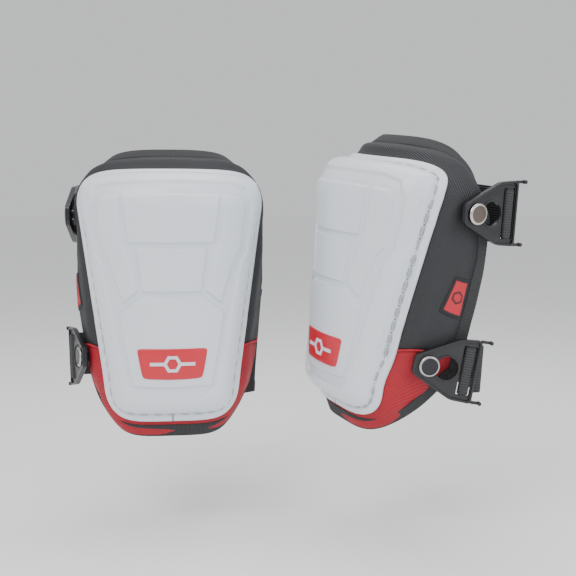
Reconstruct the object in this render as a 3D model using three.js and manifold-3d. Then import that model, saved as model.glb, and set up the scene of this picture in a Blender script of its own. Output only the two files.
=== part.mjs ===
// A pair of strap-on knee pads: stitched plastic kneeling caps on padded fabric bodies,
// with keyhole buckle plates that swivel on mushroom studs and hold the elastic straps.
// Millimetres, +Z up. Each pad is drawn in its own frame: +X towards its buckles, the
// kneeling face towards -Y, the leg behind it. The row's origin is the middle of the
// right pad's leg hollow.
import * as THREE from "three";
import { mergeVertices } from "three/addons/utils/BufferGeometryUtils.js";
import Module from "manifold-3d";

const wasm = await Module();
wasm.setup();

// ---- driving dimensions -------------------------------------------------------------
// Ten equal steps up the padded body, from its bottom hem to its top hem.
// front: the middle line (y, z); half: half width; widest: y of the greatest width;
// back: y of the rear hem; power: how square the bend round the knee is.
const SECTIONS = [
  { y: 27, z: -2, half: 58, widest: 97, back: 99, power: 3.6 },
  { y: 14, z: 33, half: 74, widest: 97, back: 101, power: 3.3 },
  { y: 10, z: 67, half: 84.5, widest: 95, back: 103, power: 2.3 },
  { y: 9.5, z: 100, half: 90, widest: 93, back: 106, power: 2.05 },
  { y: 9.5, z: 134, half: 93, widest: 90, back: 109, power: 1.9 },
  { y: 9.7, z: 168, half: 94, widest: 86, back: 113, power: 1.8 },
  { y: 10, z: 201, half: 94, widest: 82, back: 116, power: 1.75 },
  { y: 13, z: 234, half: 94, widest: 84, back: 116, power: 1.85 },
  { y: 41, z: 258, half: 84, widest: 90, back: 114, power: 2.0 },
  { y: 52, z: 268, half: 73, widest: 93, back: 111, power: 2.0 },
  { y: 66, z: 278, half: 60, widest: 96, back: 108, power: 2.0 },
];
const SIDE_HEM = { low: 80, high: 236 }; // heights where the rear hem ends
const ROW_RISE = 335; // how fast the sections climb the front of the knee
const HEM_POWER = 3; // how late the hems turn up or down towards the rear
const INWARD_CURL = 0.012; // how fast the wings close in behind their widest line, 1/mm
const CAP = { low: 13.5, high: 257.5, halfLow: 59.5, taper: 0.1443, thickness: 3 };
const CAP_CORNER = { low: 30, high: 38, power: 6.2 };
const LIP = { width: 9, standoff: 0.6 };
const DOME = { rise: 10, run: 20 };
const LAYERS = { fabric: 1.6, gap: 0.9, foamRim: 3.2, foam: 13, foamStart: 16, foamEnd: 55, lining: 1.6 };
const SEAM = { middle: 0.24, side: 0.18 }; // where the red panel meets the black fabric
const BINDING = { width: 12, wall: 1.3, gap: 1.5, slack: 1.5 };
const STUD = { head: 10, headThick: 2.4, shank: 3, washer: 7, washerThick: 1.1, washerTop: -3.4 };
const COLLAR = { bore: 3.3, outer: 4.2, flange: 7.5, flangeThick: 1.6, base: 0.6 };
const PLATE = { front: -15, rear: 46.5, narrow: 9, wide: 29, thick: 3.2, lift: 5.3 };
const KEYHOLE = { travel: 17, big: 11, slot: 4.6 };
const WEBBING = { width: 45, thick: 1.8 };
const CENTRE_BAR = { front: 34, rear: 40, slotFront: 30.4, slotRear: 43.6 };
// droop: degrees the plate hangs at rest; turn: degrees it turns in behind the leg
const UPPER_STUD = { y: 92, z: 214, droop: 0, turn: 0 };
const LOWER_STUD = { y: 64, z: 72, droop: 7, turn: 0 };
const STRAP_HANG = 38.5; // from a stud back to where its strap leaves the centre bar
const WRAP = { low: 20, high: 132, thick: 2.6, flare: 9 };
const RIM = { wide: 2.2, tall: 1.6, knob: 51.5 }; // raised edge of a buckle plate
const HOLLOW_CENTRE = new THREE.Vector3(0, 60, 140);
const LEFT_PAD_PLACE = new THREE.Vector3(211.3, -19.6, 13);
const TURN = { right: 7.35, left: -64.5, leftLean: 0.4, leftRoll: 5.9 }; // degrees

// ---- small helpers ------------------------------------------------------------------
const clamp = (x, low, high) => Math.min(high, Math.max(low, x));
const mix = (a, b, k) => a + (b - a) * k;
function smooth(low, high, x) {
  const k = clamp((x - low) / (high - low), 0, 1);
  return k * k * (3 - 2 * k);
}

function material(colour, roughness, metalness = 0) {
  return new THREE.MeshStandardMaterial({ color: colour, roughness, metalness });
}
const WHITE = () => material(0xe9edf2, 0.45);
const RED = () => material(0xc4101f, 0.6);
const BLACK_CLOTH = () => material(0x16171b, 0.9);
const BINDING_GREY = () => material(0x232427, 0.85);
const BLACK_PLASTIC = () => material(0x101113, 0.35);
const STEEL = () => material(0x6b6a68, 0.35, 0.9);
const FOAM_GREY = () => material(0x4a4d52, 0.95);
const GEL_BLUE = () => material(0x3f7fb5, 0.3);

// Catmull-Rom value of one field through the sections.
function sectionValue(field, v) {
  const last = SECTIONS.length - 1;
  const place = clamp(v, 0, 1) * last;
  const i = Math.min(last - 1, Math.floor(place));
  const k = place - i;
  const at = (j) => SECTIONS[clamp(j, 0, last)][field];
  const [a, b, c, d] = [at(i - 1), at(i), at(i + 1), at(i + 2)];
  const slope = 0.5 * (c - a);
  const nextSlope = 0.5 * (d - b);
  const rise = b - c;
  return b + k * (slope + k * (-3 * rise - 2 * slope - nextSlope + k * (2 * rise + slope + nextSlope)));
}

// A point of the body's outer face: t runs from -1 to 1 round the knee, v from hem to hem.
function facePoint(t, v) {
  const half = sectionValue("half", v);
  const widest = sectionValue("widest", v);
  const y = sectionValue("y", v);
  const z = sectionValue("z", v);
  const tail = Math.max(0.5, sectionValue("back", v) - widest);
  const power = 2 / sectionValue("power", v);
  const bend = 0.8 * (half + widest - y);
  const split = bend / (bend + tail);
  const q = Math.abs(t);
  const side = mix(SIDE_HEM.low, SIDE_HEM.high, v);
  const height = z + (side - z) * (1 - Math.sqrt(Math.max(0, 1 - q ** HEM_POWER)));
  const reach = sectionValue("half", v + (height - z) / ROW_RISE);
  if (q > split) {
    const past = ((q - split) / (1 - split)) * tail;
    const x = reach - (INWARD_CURL * past * past) / 2;
    return new THREE.Vector3(Math.sign(t) * x, widest + past, height);
  }
  const angle = ((q / split) * Math.PI) / 2;
  const x = reach * Math.sin(angle) ** power;
  return new THREE.Vector3(Math.sign(t) * x, widest - (widest - y) * Math.cos(angle) ** power, height);
}

function faceNormal(t, v) {
  const step = 0.004;
  const across = facePoint(t + step, v).sub(facePoint(t - step, v));
  const up = facePoint(t, Math.min(1, v + step)).sub(facePoint(t, Math.max(0, v - step)));
  return across.cross(up).normalize();
}

function offsetPoint(t, v, height) {
  return facePoint(t, v).addScaledVector(faceNormal(t, v), height);
}

// The (t, v) of the face point that has the given x and z, for the front of the pad.
function faceAt(x, z) {
  let v = 0.5;
  let t = 0;
  for (let pass = 0; pass < 40; pass += 1) {
    let low = 0;
    let high = 0.99;
    for (let step = 0; step < 30; step += 1) {
      t = (low + high) / 2;
      if (facePoint(t, v).x < Math.abs(x)) low = t;
      else high = t;
    }
    const error = z - facePoint(t, v).z;
    v = clamp(v + error / 420, 0, 1);
    if (Math.abs(error) < 0.002) break;
  }
  return { t: Math.sign(x) * t, v };
}

// The (t, v) of the face point that has the given y and z, for the sides of the pad.
function sideAt(y, z) {
  let v = 0.5;
  let t = 0;
  for (let pass = 0; pass < 60; pass += 1) {
    let low = 0.2;
    let high = 1;
    for (let step = 0; step < 30; step += 1) {
      t = (low + high) / 2;
      if (facePoint(t, v).y < y) low = t;
      else high = t;
    }
    const error = z - facePoint(t, v).z;
    v = clamp(v + error / 500, 0, 1);
    if (Math.abs(error) < 0.002) break;
  }
  return { t, v };
}

// ---- closed skins -------------------------------------------------------------------
// A closed solid between two grids of points, outer and inner, of equal size.
function gridSolid(rows, columns, outer, inner) {
  const positions = [];
  const faces = [];
  const index = (layer, i, j) => layer * (rows + 1) * (columns + 1) + i * (columns + 1) + j;
  for (const at of [outer, inner])
    for (let i = 0; i <= rows; i += 1)
      for (let j = 0; j <= columns; j += 1) positions.push(...at(i / rows, j / columns).toArray());
  const quad = (a, b, c, d) => faces.push(a, b, c, a, c, d);
  for (let i = 0; i < rows; i += 1)
    for (let j = 0; j < columns; j += 1) {
      quad(index(0, i, j), index(0, i, j + 1), index(0, i + 1, j + 1), index(0, i + 1, j));
      quad(index(1, i, j), index(1, i + 1, j), index(1, i + 1, j + 1), index(1, i, j + 1));
    }
  for (let i = 0; i < rows; i += 1) {
    quad(index(0, i + 1, 0), index(1, i + 1, 0), index(1, i, 0), index(0, i, 0));
    quad(index(0, i, columns), index(1, i, columns), index(1, i + 1, columns), index(0, i + 1, columns));
  }
  for (let j = 0; j < columns; j += 1) {
    quad(index(0, 0, j), index(1, 0, j), index(1, 0, j + 1), index(0, 0, j + 1));
    quad(index(0, rows, j + 1), index(1, rows, j + 1), index(1, rows, j), index(0, rows, j));
  }
  const geometry = new THREE.BufferGeometry();
  geometry.setAttribute("position", new THREE.Float32BufferAttribute(positions, 3));
  geometry.setIndex(faces);
  return geometry;
}

// A closed ring: the section's corner points are given for each place round the loop.
function ringSolid(sections) {
  const size = sections[0].length;
  const positions = sections.flat().flatMap((point) => point.toArray());
  const faces = [];
  sections.forEach((_, i) => {
    const next = (i + 1) % sections.length;
    for (let j = 0; j < size; j += 1) {
      const k = (j + 1) % size;
      const [a, b, c, d] = [i * size + j, next * size + j, next * size + k, i * size + k];
      faces.push(a, b, c, a, c, d);
    }
  });
  const geometry = new THREE.BufferGeometry();
  geometry.setAttribute("position", new THREE.Float32BufferAttribute(positions, 3));
  geometry.setIndex(faces);
  return geometry;
}

function toSolid(geometry) {
  const bare = geometry.index ? geometry.toNonIndexed() : geometry.clone();
  bare.deleteAttribute("normal");
  bare.deleteAttribute("uv");
  const merged = mergeVertices(bare, 1e-4);
  const mesh = new wasm.Mesh({
    numProp: 3,
    vertProperties: merged.attributes.position.array,
    triVerts: new Uint32Array(merged.index.array),
  });
  return new wasm.Manifold(mesh);
}

function fromSolid(solid) {
  const mesh = solid.getMesh();
  const geometry = new THREE.BufferGeometry();
  geometry.setAttribute("position", new THREE.Float32BufferAttribute(mesh.vertProperties, 3));
  geometry.setIndex([...mesh.triVerts]);
  return geometry;
}

const joined = (...parts) => fromSolid(parts.map(toSolid).reduce((sum, part) => sum.add(part)));
const cut = (part, ...tools) => fromSolid(tools.map(toSolid).reduce((left, tool) => left.subtract(tool), toSolid(part)));

function polygon(points) {
  const shape = new THREE.Shape();
  points.forEach(([x, y], i) => (i ? shape.lineTo(x, y) : shape.moveTo(x, y)));
  shape.closePath();
  return shape;
}

function prism(shape, low, high, curveSegments = 12) {
  const depth = high - low;
  return new THREE.ExtrudeGeometry(shape, { depth, bevelEnabled: false, curveSegments }).translate(0, 0, low);
}

function disc(radius, low, high, sides = 16) {
  const turned = new THREE.CylinderGeometry(radius, radius, high - low, sides).rotateX(Math.PI / 2);
  return turned.translate(0, 0, (low + high) / 2);
}

// ---- the padded body ----------------------------------------------------------------
const EDGE = 0.968; // the layers stop just inside the binding
const roundStep = (k) => Math.sin((clamp(k, -1, 1) * Math.PI) / 2);
const layerT = (j) => roundStep(2 * j - 1) * EDGE;
// Rows of the layers, closer together where the top rolls back over the knee.
const ROWS = [0.008, 0.07, 0.15, 0.27, 0.42, 0.58, 0.68, 0.74, 0.79, 0.85, 0.92, 0.992];
const SHELL_ROWS = ROWS.slice(3);

// Distance in from the hem, near enough for thickness changes.
function hemDistance(t, v) {
  const height = mix(335, 150, t * t);
  return Math.min((1 - Math.abs(t)) * 145, v * height, (1 - v) * height);
}

function foamThickness(t, v) {
  return mix(LAYERS.foamRim, LAYERS.foam, smooth(LAYERS.foamStart, LAYERS.foamEnd, hemDistance(t, v)));
}

function seamV(t) {
  return mix(SEAM.middle, SEAM.side, smooth(0.6, 1, Math.abs(t)));
}

function layer(rows, columns, rowV, top, thickness) {
  const at = (below) => (i, j) => {
    const t = layerT(j);
    const v = rowV(Math.round(i * rows), t);
    return offsetPoint(t, v, top(t, v) - (below ? thickness(t, v) : 0));
  };
  return gridSolid(rows, columns, at(false), at(true));
}

function blackShell() {
  const rowV = (i, t) => (i ? SHELL_ROWS[i - 1] : seamV(t) + 0.003);
  return layer(SHELL_ROWS.length, 12, rowV, () => 0, () => LAYERS.fabric);
}

function redPanel() {
  const rowV = (i, t) => mix(ROWS[0], seamV(t) - 0.003, i / 4);
  return layer(4, 12, rowV, () => 0, () => LAYERS.fabric);
}

function foamCore() {
  const top = () => -LAYERS.fabric - LAYERS.gap;
  return layer(ROWS.length - 1, 12, (i) => ROWS[i], top, foamThickness);
}

function lining() {
  const top = (t, v) => -LAYERS.fabric - 2 * LAYERS.gap - foamThickness(t, v);
  return layer(ROWS.length - 1, 12, (i) => ROWS[i], top, () => LAYERS.lining);
}

// Places round the hem: along the bottom, up one side, back over the top, down the other.
function hemLoop(acrossSteps, sideSteps) {
  const loop = [];
  for (let i = 0; i < acrossSteps; i += 1) loop.push([roundStep(-1 + (2 * i) / acrossSteps), 0]);
  for (let i = 0; i < sideSteps; i += 1) loop.push([1, i / sideSteps]);
  for (let i = 0; i < acrossSteps; i += 1) loop.push([roundStep(1 - (2 * i) / acrossSteps), 1]);
  for (let i = 0; i < sideSteps; i += 1) loop.push([-1, 1 - i / sideSteps]);
  return loop;
}

// The face place nearest to a point, found from a place close by.
function nearestOnFace(target, t, v) {
  const step = 0.002;
  for (let pass = 0; pass < 14; pass += 1) {
    const along = facePoint(t + step, v).sub(facePoint(t - step, v)).divideScalar(2 * step);
    const up = facePoint(t, v + step).sub(facePoint(t, v - step)).divideScalar(2 * step);
    const miss = target.clone().sub(facePoint(t, v));
    const [a, b, c] = [along.dot(along), along.dot(up), up.dot(up)];
    const [p, q] = [along.dot(miss), up.dot(miss)];
    t = clamp(t + (p * c - q * b) / (a * c - b * b), -0.99, 0.99);
    v = clamp(v + (q * a - p * b) / (a * c - b * b), 0.004, 0.996);
  }
  return [t, v];
}

// The binding is a ribbon folded over the hem: a U section swept round the loop.
function edgeBinding(grow = 0) {
  const loop = hemLoop(22, 7);
  const under = LAYERS.fabric + 2 * LAYERS.gap + LAYERS.foamRim + LAYERS.lining + BINDING.slack;
  const [near, far] = [BINDING.gap, BINDING.gap + BINDING.wall];
  const sections = loop.map(([t, v], i) => {
    const before = loop.at(i - 1);
    const after = loop[(i + 1) % loop.length];
    const point = facePoint(t, v);
    const normal = faceNormal(clamp(t, -0.98, 0.98), clamp(v, 0.006, 0.994));
    const along = facePoint(...after).sub(facePoint(...before));
    const inward = normal.clone().cross(along).normalize();
    const target = point.clone().addScaledVector(inward, BINDING.width);
    const inside = nearestOnFace(target, t * 0.93, mix(v, 0.5, 0.1));
    const upward = faceNormal(...inside);
    const leg = (up) => facePoint(...inside).addScaledVector(upward, up);
    const edge = (out, up) => point.clone().addScaledVector(inward, -out).addScaledVector(upward, up);
    const [outer, inner] = [far + grow, near - grow];
    return [
      edge(outer, outer),
      leg(outer),
      leg(inner),
      edge(inner, inner),
      edge(inner, -under - inner),
      leg(-under - inner),
      leg(-under - outer),
      edge(outer, -under - outer),
    ];
  });
  return ringSolid(sections);
}

// Cuts a layer or a sewn piece clear of the binding, and keeps its main piece.
function trimmed(geometry) {
  const pieces = toSolid(geometry).subtract(toSolid(edgeBinding(0.12))).decompose();
  return fromSolid(pieces.reduce((best, piece) => (piece.volume() > best.volume() ? piece : best)));
}

// ---- the kneeling cap ---------------------------------------------------------------
function capHalf(z) {
  return CAP.halfLow + CAP.taper * (z - CAP.low);
}

// Front-view place for cap coordinates: across from -1 to 1, up from 0 to 1.
function capPlace(across, up) {
  const corner = 1 - Math.sqrt(Math.max(0, 1 - Math.abs(across) ** CAP_CORNER.power));
  const low = CAP.low + CAP_CORNER.low * corner;
  const high = CAP.high - CAP_CORNER.high * corner;
  const z = mix(low, high, up);
  return { x: across * capHalf(z), z };
}

const CAP_EDGE = hemLoop(24, 10).map(([across, up]) => {
  const { x, z } = capPlace(across, up);
  const { t, v } = faceAt(x, z);
  return facePoint(t, v);
});

function capEdgeDistance(point) {
  let best = Infinity;
  CAP_EDGE.forEach((start, i) => {
    const edge = new THREE.Line3(start, CAP_EDGE[(i + 1) % CAP_EDGE.length]);
    const near = edge.closestPointToPoint(point, true, new THREE.Vector3());
    best = Math.min(best, near.distanceTo(point));
  });
  return best;
}

function capHeight(point) {
  const past = clamp((capEdgeDistance(point) - LIP.width) / DOME.run, 0, 1);
  return CAP.thickness + LIP.standoff + DOME.rise * (1 - (1 - past) ** 2.4);
}

function capPoint(across, up, below) {
  const { x, z } = capPlace(across, up);
  const { t, v } = faceAt(x, z);
  const height = capHeight(facePoint(t, v)) - below;
  return offsetPoint(t, v, height);
}

function capBlank(top, bottom, rows = 14, columns = 14) {
  const at = (below) => (i, j) => capPoint(roundStep(2 * j - 1), (roundStep(2 * i - 1) + 1) / 2, below);
  return gridSolid(rows, columns, at(top), at(bottom));
}

const mirrored = (points) => points.map(([x, z]) => [-x, z]);
const PANELS = {
  upper: [[-41.5, 230], [41.5, 230], [35.5, 187.9], [-35.5, 187.9]],
  middle: [[-29.2, 182.2], [29.2, 182.2], [24.5, 141.5], [-24.5, 141.5]],
  lower: [[-26, 135.8], [26, 135.8], [44.3, 120.7], [34.2, 51.1], [-34.2, 51.1], [-44.3, 120.7]],
  side: [[47, 230], [60, 229.1], [64, 224.3], [59, 179.8], [53, 171.3], [41, 130.6], [28.6, 142], [41.4, 186.9]],
};
const FIELD = [[52, 238], [66, 235], [71.5, 224], [65.3, 177.5], [59.5, 167.5], [38, 49], [30, 42]];
const BADGE = [[-29.8, 87.5], [29.8, 87.5], [25.8, 58.5], [-25.8, 58.5]];
const BADGE_MIDDLE = 73;
const RELIEF = { field: 1.2, panel: 0.5, badge: 2.2, mark: 3.2 };

// A prism through the cap, whose front-view outline is given as (x, z) points.
const frontPrism = (points) => prism(polygon(points), -70, 60).rotateX(Math.PI / 2);

// The slice of an outline that lies between two heights above the cap's dome.
function reliefPiece(points, low, high) {
  return fromSolid(toSolid(frontPrism(points)).intersect(toSolid(capBlank(-high, -low))));
}

function cap() {
  const field = reliefPiece([...FIELD, ...mirrored(FIELD).reverse()], -RELIEF.field, 3);
  const outlines = [PANELS.upper, PANELS.middle, PANELS.lower, PANELS.side, mirrored(PANELS.side).reverse()];
  const panels = outlines.map((points) => reliefPiece(points, -CAP.thickness / 2, RELIEF.panel));
  return joined(cut(capBlank(0, CAP.thickness), field), ...panels);
}

const badge = () => reliefPiece(BADGE, RELIEF.panel + 0.3, RELIEF.badge);

// A plain six-sided ring between two bars stands on the badge.
function badgeMark() {
  const corner = (radius) => (_, i) => {
    const angle = (i * Math.PI) / 3;
    return [radius * Math.cos(angle), BADGE_MIDDLE + radius * Math.sin(angle)];
  };
  const ring = polygon(Array.from({ length: 6 }, corner(9)));
  ring.holes.push(polygon(Array.from({ length: 6 }, corner(5.6)).reverse()));
  const ringPrism = prism(ring, -70, 60).rotateX(Math.PI / 2);
  const bar = new THREE.BoxGeometry(14, 130, 3.2).translate(14.5, 5, BADGE_MIDDLE);
  const mark = toSolid(joined(ringPrism, bar, bar.clone().translate(-29, 0, 0)));
  return fromSolid(mark.intersect(toSolid(capBlank(-RELIEF.mark, -RELIEF.badge - 0.3))));
}

function gelInsert() {
  const place = (j, i) => capPlace(mix(-0.5, 0.5, j), mix(0.16, 0.86, i));
  const at = (upper) => (i, j) => {
    const { x, z } = place(j, i);
    const { t, v } = faceAt(x, z);
    const top = capHeight(facePoint(t, v)) - CAP.thickness - RELIEF.field - LAYERS.gap;
    return offsetPoint(t, v, upper ? top : LAYERS.gap);
  };
  return gridSolid(6, 5, at(true), at(false));
}

// ---- studs, collars and buckle plates ------------------------------------------------
// Each is drawn about its stud: +X to the rear, +Y up, +Z away from the fabric.
function studFrame({ y, z, droop, turn }) {
  const { t, v } = sideAt(y, z);
  const out = faceNormal(t, v).setZ(0).normalize();
  out.applyAxisAngle(new THREE.Vector3(0, 0, 1), THREE.MathUtils.degToRad(turn));
  const rear = new THREE.Vector3(-out.y, out.x, 0);
  const frame = new THREE.Matrix4().makeBasis(rear, out.clone().cross(rear), out);
  frame.multiply(new THREE.Matrix4().makeRotationZ(THREE.MathUtils.degToRad(-droop)));
  return frame.setPosition(facePoint(t, v));
}

const PLATE_TOP = PLATE.lift + PLATE.thick;
const HEAD_LOW = PLATE_TOP + RIM.tall - 0.5;

function stud() {
  const low = STUD.washerTop - STUD.washerThick - 0.5;
  const profile = [
    [0, low],
    [STUD.shank, low],
    [STUD.shank, HEAD_LOW],
    [STUD.head - 0.8, HEAD_LOW],
    [STUD.head, HEAD_LOW + 0.8],
    [STUD.head - 1.4, HEAD_LOW + STUD.headThick - 0.4],
    [STUD.head - 3, HEAD_LOW + STUD.headThick],
    [0, HEAD_LOW + STUD.headThick],
  ];
  const points = profile.map(([r, z]) => new THREE.Vector2(r, z));
  return new THREE.LatheGeometry(points, 16).rotateX(Math.PI / 2);
}

function studWasher() {
  const top = STUD.washerTop;
  return cut(disc(STUD.washer, top - STUD.washerThick, top), disc(STUD.shank + 0.4, top - 3, top + 1, 16));
}

function collar() {
  const flange = disc(COLLAR.flange, COLLAR.base, COLLAR.base + COLLAR.flangeThick);
  const bush = disc(COLLAR.outer, COLLAR.base + 0.5, HEAD_LOW - 0.3);
  return cut(joined(flange, bush), disc(COLLAR.bore, -3, 12));
}

function platePath(inset) {
  const waist = 25;
  return [
    [PLATE.front + inset, -PLATE.narrow + inset * 0.6],
    [waist, -PLATE.wide + inset],
    [PLATE.rear - inset, -PLATE.wide - 1.5 + inset],
    [PLATE.rear - inset, PLATE.wide + 1.5 - inset],
    [waist, PLATE.wide - inset],
    [PLATE.front + inset, PLATE.narrow - inset * 0.6],
  ];
}

function bucklePlate() {
  const slab = prism(polygon(platePath(0)), PLATE.lift, PLATE_TOP);
  const rim = polygon(platePath(0));
  rim.holes.push(polygon(platePath(RIM.wide).reverse()));
  const raised = prism(rim, PLATE_TOP - 0.5, PLATE_TOP + RIM.tall);
  const knob = (side) => disc(1.9, PLATE.lift, PLATE_TOP + RIM.tall, 8).translate(RIM.knob - 1.9, side, 0);
  const arm = (side) => new THREE.BoxGeometry(8, 2.6, PLATE.thick).translate(PLATE.rear, side, PLATE.lift + 1.6);
  const edge = PLATE.wide + 0.2;
  const arms = [knob(edge), knob(-edge), arm(edge), arm(-edge)];
  const big = disc(KEYHOLE.big, 0, 12, 20).translate(KEYHOLE.travel, 0, 0);
  const small = disc(KEYHOLE.slot, 0, 12, 12);
  const way = new THREE.BoxGeometry(KEYHOLE.travel, 2 * KEYHOLE.slot, 12).translate(KEYHOLE.travel / 2, 0, 6);
  const slot = (from, to) => {
    const box = new THREE.BoxGeometry(to - from, WEBBING.width + 2, 12);
    return box.translate((from + to) / 2, 0, 6);
  };
  const front = slot(CENTRE_BAR.slotFront, CENTRE_BAR.front);
  const rear = slot(CENTRE_BAR.rear, CENTRE_BAR.slotRear);
  return cut(joined(slab, raised, ...arms), big, small, way, front, rear);
}

// The strap's end is folded round the plate's centre bar and sewn to itself.
function strapLoop() {
  const box = (grow) => {
    const [front, rear] = [CENTRE_BAR.front - grow, CENTRE_BAR.rear + grow];
    const [low, high] = [PLATE.lift - grow, PLATE_TOP + grow];
    return [[front, low], [rear, low], [rear, high], [front, high]].map(([x, y]) => [x, y]);
  };
  const ring = polygon(box(0.3 + WEBBING.thick));
  ring.holes.push(polygon(box(0.3).reverse()));
  const half = WEBBING.width / 2;
  return prism(ring, -half, half).rotateX(Math.PI / 2);
}

// ---- straps, wrap and label -----------------------------------------------------------
// A band that stands on edge along a plan path, between two heights.
function band(path, low, high, thick, steps, flare = () => 0) {
  const curve = new THREE.CatmullRomCurve3(path.map(([x, y]) => new THREE.Vector3(x, y, 0)));
  const at = (side) => (i, j) => {
    const point = curve.getPointAt(i);
    const along = curve.getTangentAt(i);
    const outward = new THREE.Vector3(-along.y, along.x, 0);
    point.addScaledVector(outward, side * thick * 0.5 + flare(i, j));
    return point.setZ(mix(low(i), high(i), j));
  };
  return gridSolid(steps, 2, at(1), at(-1));
}

function strapStart(spec, back, drop) {
  const start = new THREE.Vector3(back, 0, drop).applyMatrix4(studFrame(spec));
  return [start.x, start.y];
}

const UPPER_STRAP_PATH = [
  strapStart(UPPER_STUD, STRAP_HANG, 0.6),
  strapStart(UPPER_STUD, STRAP_HANG, -14),
  [48, 137],
  [0, 142],
  [-46, 134],
  [-57, 120],
  [-57, 98],
];
const LOWER_STRAP_PATH = [
  strapStart(LOWER_STUD, STRAP_HANG + 4, 0.6),
  strapStart(LOWER_STUD, STRAP_HANG + 6, -9),
  [68, 116],
  [36, 122],
  [-4, 126],
  [-30, 138],
];
const WRAP_PATH = [[-62.5, 80], [-64, 101], [-80, 118], [-97, 128], [-93, 146], [-58, 153], [-28, 144], [2, 131]];

function strap(path, spec) {
  const middle = spec.z - Math.tan(THREE.MathUtils.degToRad(spec.droop)) * STRAP_HANG;
  const half = WEBBING.width / 2;
  return band(path, () => middle - half, () => middle + half, WEBBING.thick, 15);
}

// The hook tape that closes the strap on itself, on the outside near the buckle.
function hookTab(path, spec) {
  const middle = spec.z - Math.tan(THREE.MathUtils.degToRad(spec.droop)) * STRAP_HANG;
  const whole = new THREE.CatmullRomCurve3(path.map(([x, y]) => new THREE.Vector3(x, y, 0)));
  const points = [0.16, 0.22, 0.28, 0.34, 0.4].map((k) => {
    const along = whole.getTangentAt(k);
    const point = whole.getPointAt(k);
    return [point.x + along.y * 2.6, point.y - along.x * 2.6];
  });
  const half = WEBBING.width / 2 - 3;
  return band(points, () => middle - half, () => middle + half, 1.6, 6);
}

function calfWrap() {
  const narrow = (i) => smooth(0.5, 1, i);
  const low = (i) => mix(WRAP.low, 36, Math.max(narrow(i), 1 - smooth(0, 0.25, i)));
  const high = (i) => mix(WRAP.high, 84, narrow(i));
  const flare = (i, j) => -WRAP.flare * (1 - j) * smooth(0.12, 0.4, i) * (1 - smooth(0.6, 0.9, i));
  return band(WRAP_PATH, low, high, WRAP.thick, 14, flare);
}

function sideLabel() {
  const corners = [[69, 123], [91, 115], [97, 152], [81, 156]].map(([y, z]) => sideAt(y, z));
  const at = (height) => (i, j) => {
    const [a, b, c, d] = corners;
    const t = mix(mix(a.t, b.t, j), mix(d.t, c.t, j), i);
    const v = mix(mix(a.v, b.v, j), mix(d.v, c.v, j), i);
    return offsetPoint(t, v, height);
  };
  return gridSolid(3, 2, at(1.4), at(0.5));
}

// Holes for the studs through the fabric, and pockets in the foam for their washers.
function pierced(geometry, specs, radius) {
  const tools = specs.map((spec) => disc(radius, -9, 3, 10).applyMatrix4(studFrame(spec)));
  return cut(geometry, ...tools);
}

// ---- the pair ------------------------------------------------------------------------
function pad(side) {
  const whole = new THREE.Group();
  const add = (name, geometry, finish, frame = new THREE.Matrix4()) => {
    const mesh = new THREE.Mesh(geometry, finish);
    mesh.name = `${side}_${name}`;
    mesh.applyMatrix4(frame);
    whole.add(mesh);
  };
  add("cap", cap(), WHITE());
  add("badge", badge(), RED());
  add("badge_mark", badgeMark(), WHITE());
  add("gel_insert", gelInsert(), GEL_BLUE());
  add("fabric_shell", pierced(trimmed(blackShell()), [UPPER_STUD], STUD.shank + 0.5), BLACK_CLOTH());
  add("red_panel", pierced(trimmed(redPanel()), [LOWER_STUD], STUD.shank + 0.5), RED());
  add("foam_core", pierced(trimmed(foamCore()), [UPPER_STUD, LOWER_STUD], STUD.washer + 1), FOAM_GREY());
  add("lining", trimmed(lining()), BLACK_CLOTH());
  add("edge_binding", edgeBinding(), BINDING_GREY());
  add("side_label", sideLabel(), RED());
  add("calf_wrap", trimmed(calfWrap()), BLACK_CLOTH());
  for (const [name, spec, path] of [
    ["upper", UPPER_STUD, UPPER_STRAP_PATH],
    ["lower", LOWER_STUD, LOWER_STRAP_PATH],
  ]) {
    const frame = studFrame(spec);
    add(`${name}_stud`, stud(), STEEL(), frame);
    add(`${name}_stud_washer`, studWasher(), STEEL(), frame);
    add(`${name}_collar`, collar(), BLACK_PLASTIC(), frame);
    add(`${name}_buckle_plate`, bucklePlate(), BLACK_PLASTIC(), frame);
    add(`${name}_strap_loop`, strapLoop(), BLACK_CLOTH(), frame);
    add(`${name}_strap`, strap(path, spec), BLACK_CLOTH());
    add(`${name}_hook_tab`, hookTab(path, spec), BLACK_CLOTH());
  }
  whole.position.copy(HOLLOW_CENTRE).negate();
  return whole;
}

function placed(side, place, turn, lean, roll) {
  const inner = new THREE.Group();
  inner.add(pad(side));
  if (side === "right") inner.scale.x = -1;
  const outer = new THREE.Group();
  outer.add(inner);
  const radians = THREE.MathUtils.degToRad;
  const turned = new THREE.Matrix4().makeRotationZ(radians(turn));
  turned.multiply(new THREE.Matrix4().makeRotationX(radians(-lean)));
  turned.multiply(new THREE.Matrix4().makeRotationY(radians(roll)));
  outer.applyMatrix4(turned.setPosition(place));
  return outer;
}

const pair = new THREE.Group();
pair.add(placed("right", new THREE.Vector3(), TURN.right, 0, 0));
pair.add(placed("left", LEFT_PAD_PLACE, TURN.left, TURN.leftLean, TURN.leftRoll));

export default pair;
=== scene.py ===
"""A pair of roofing knee pads: stitched kneeling caps on padded bodies, with swivelling keyhole buckles."""

import math

import bpy
import numpy as np
from mathutils import Matrix, Vector


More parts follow.
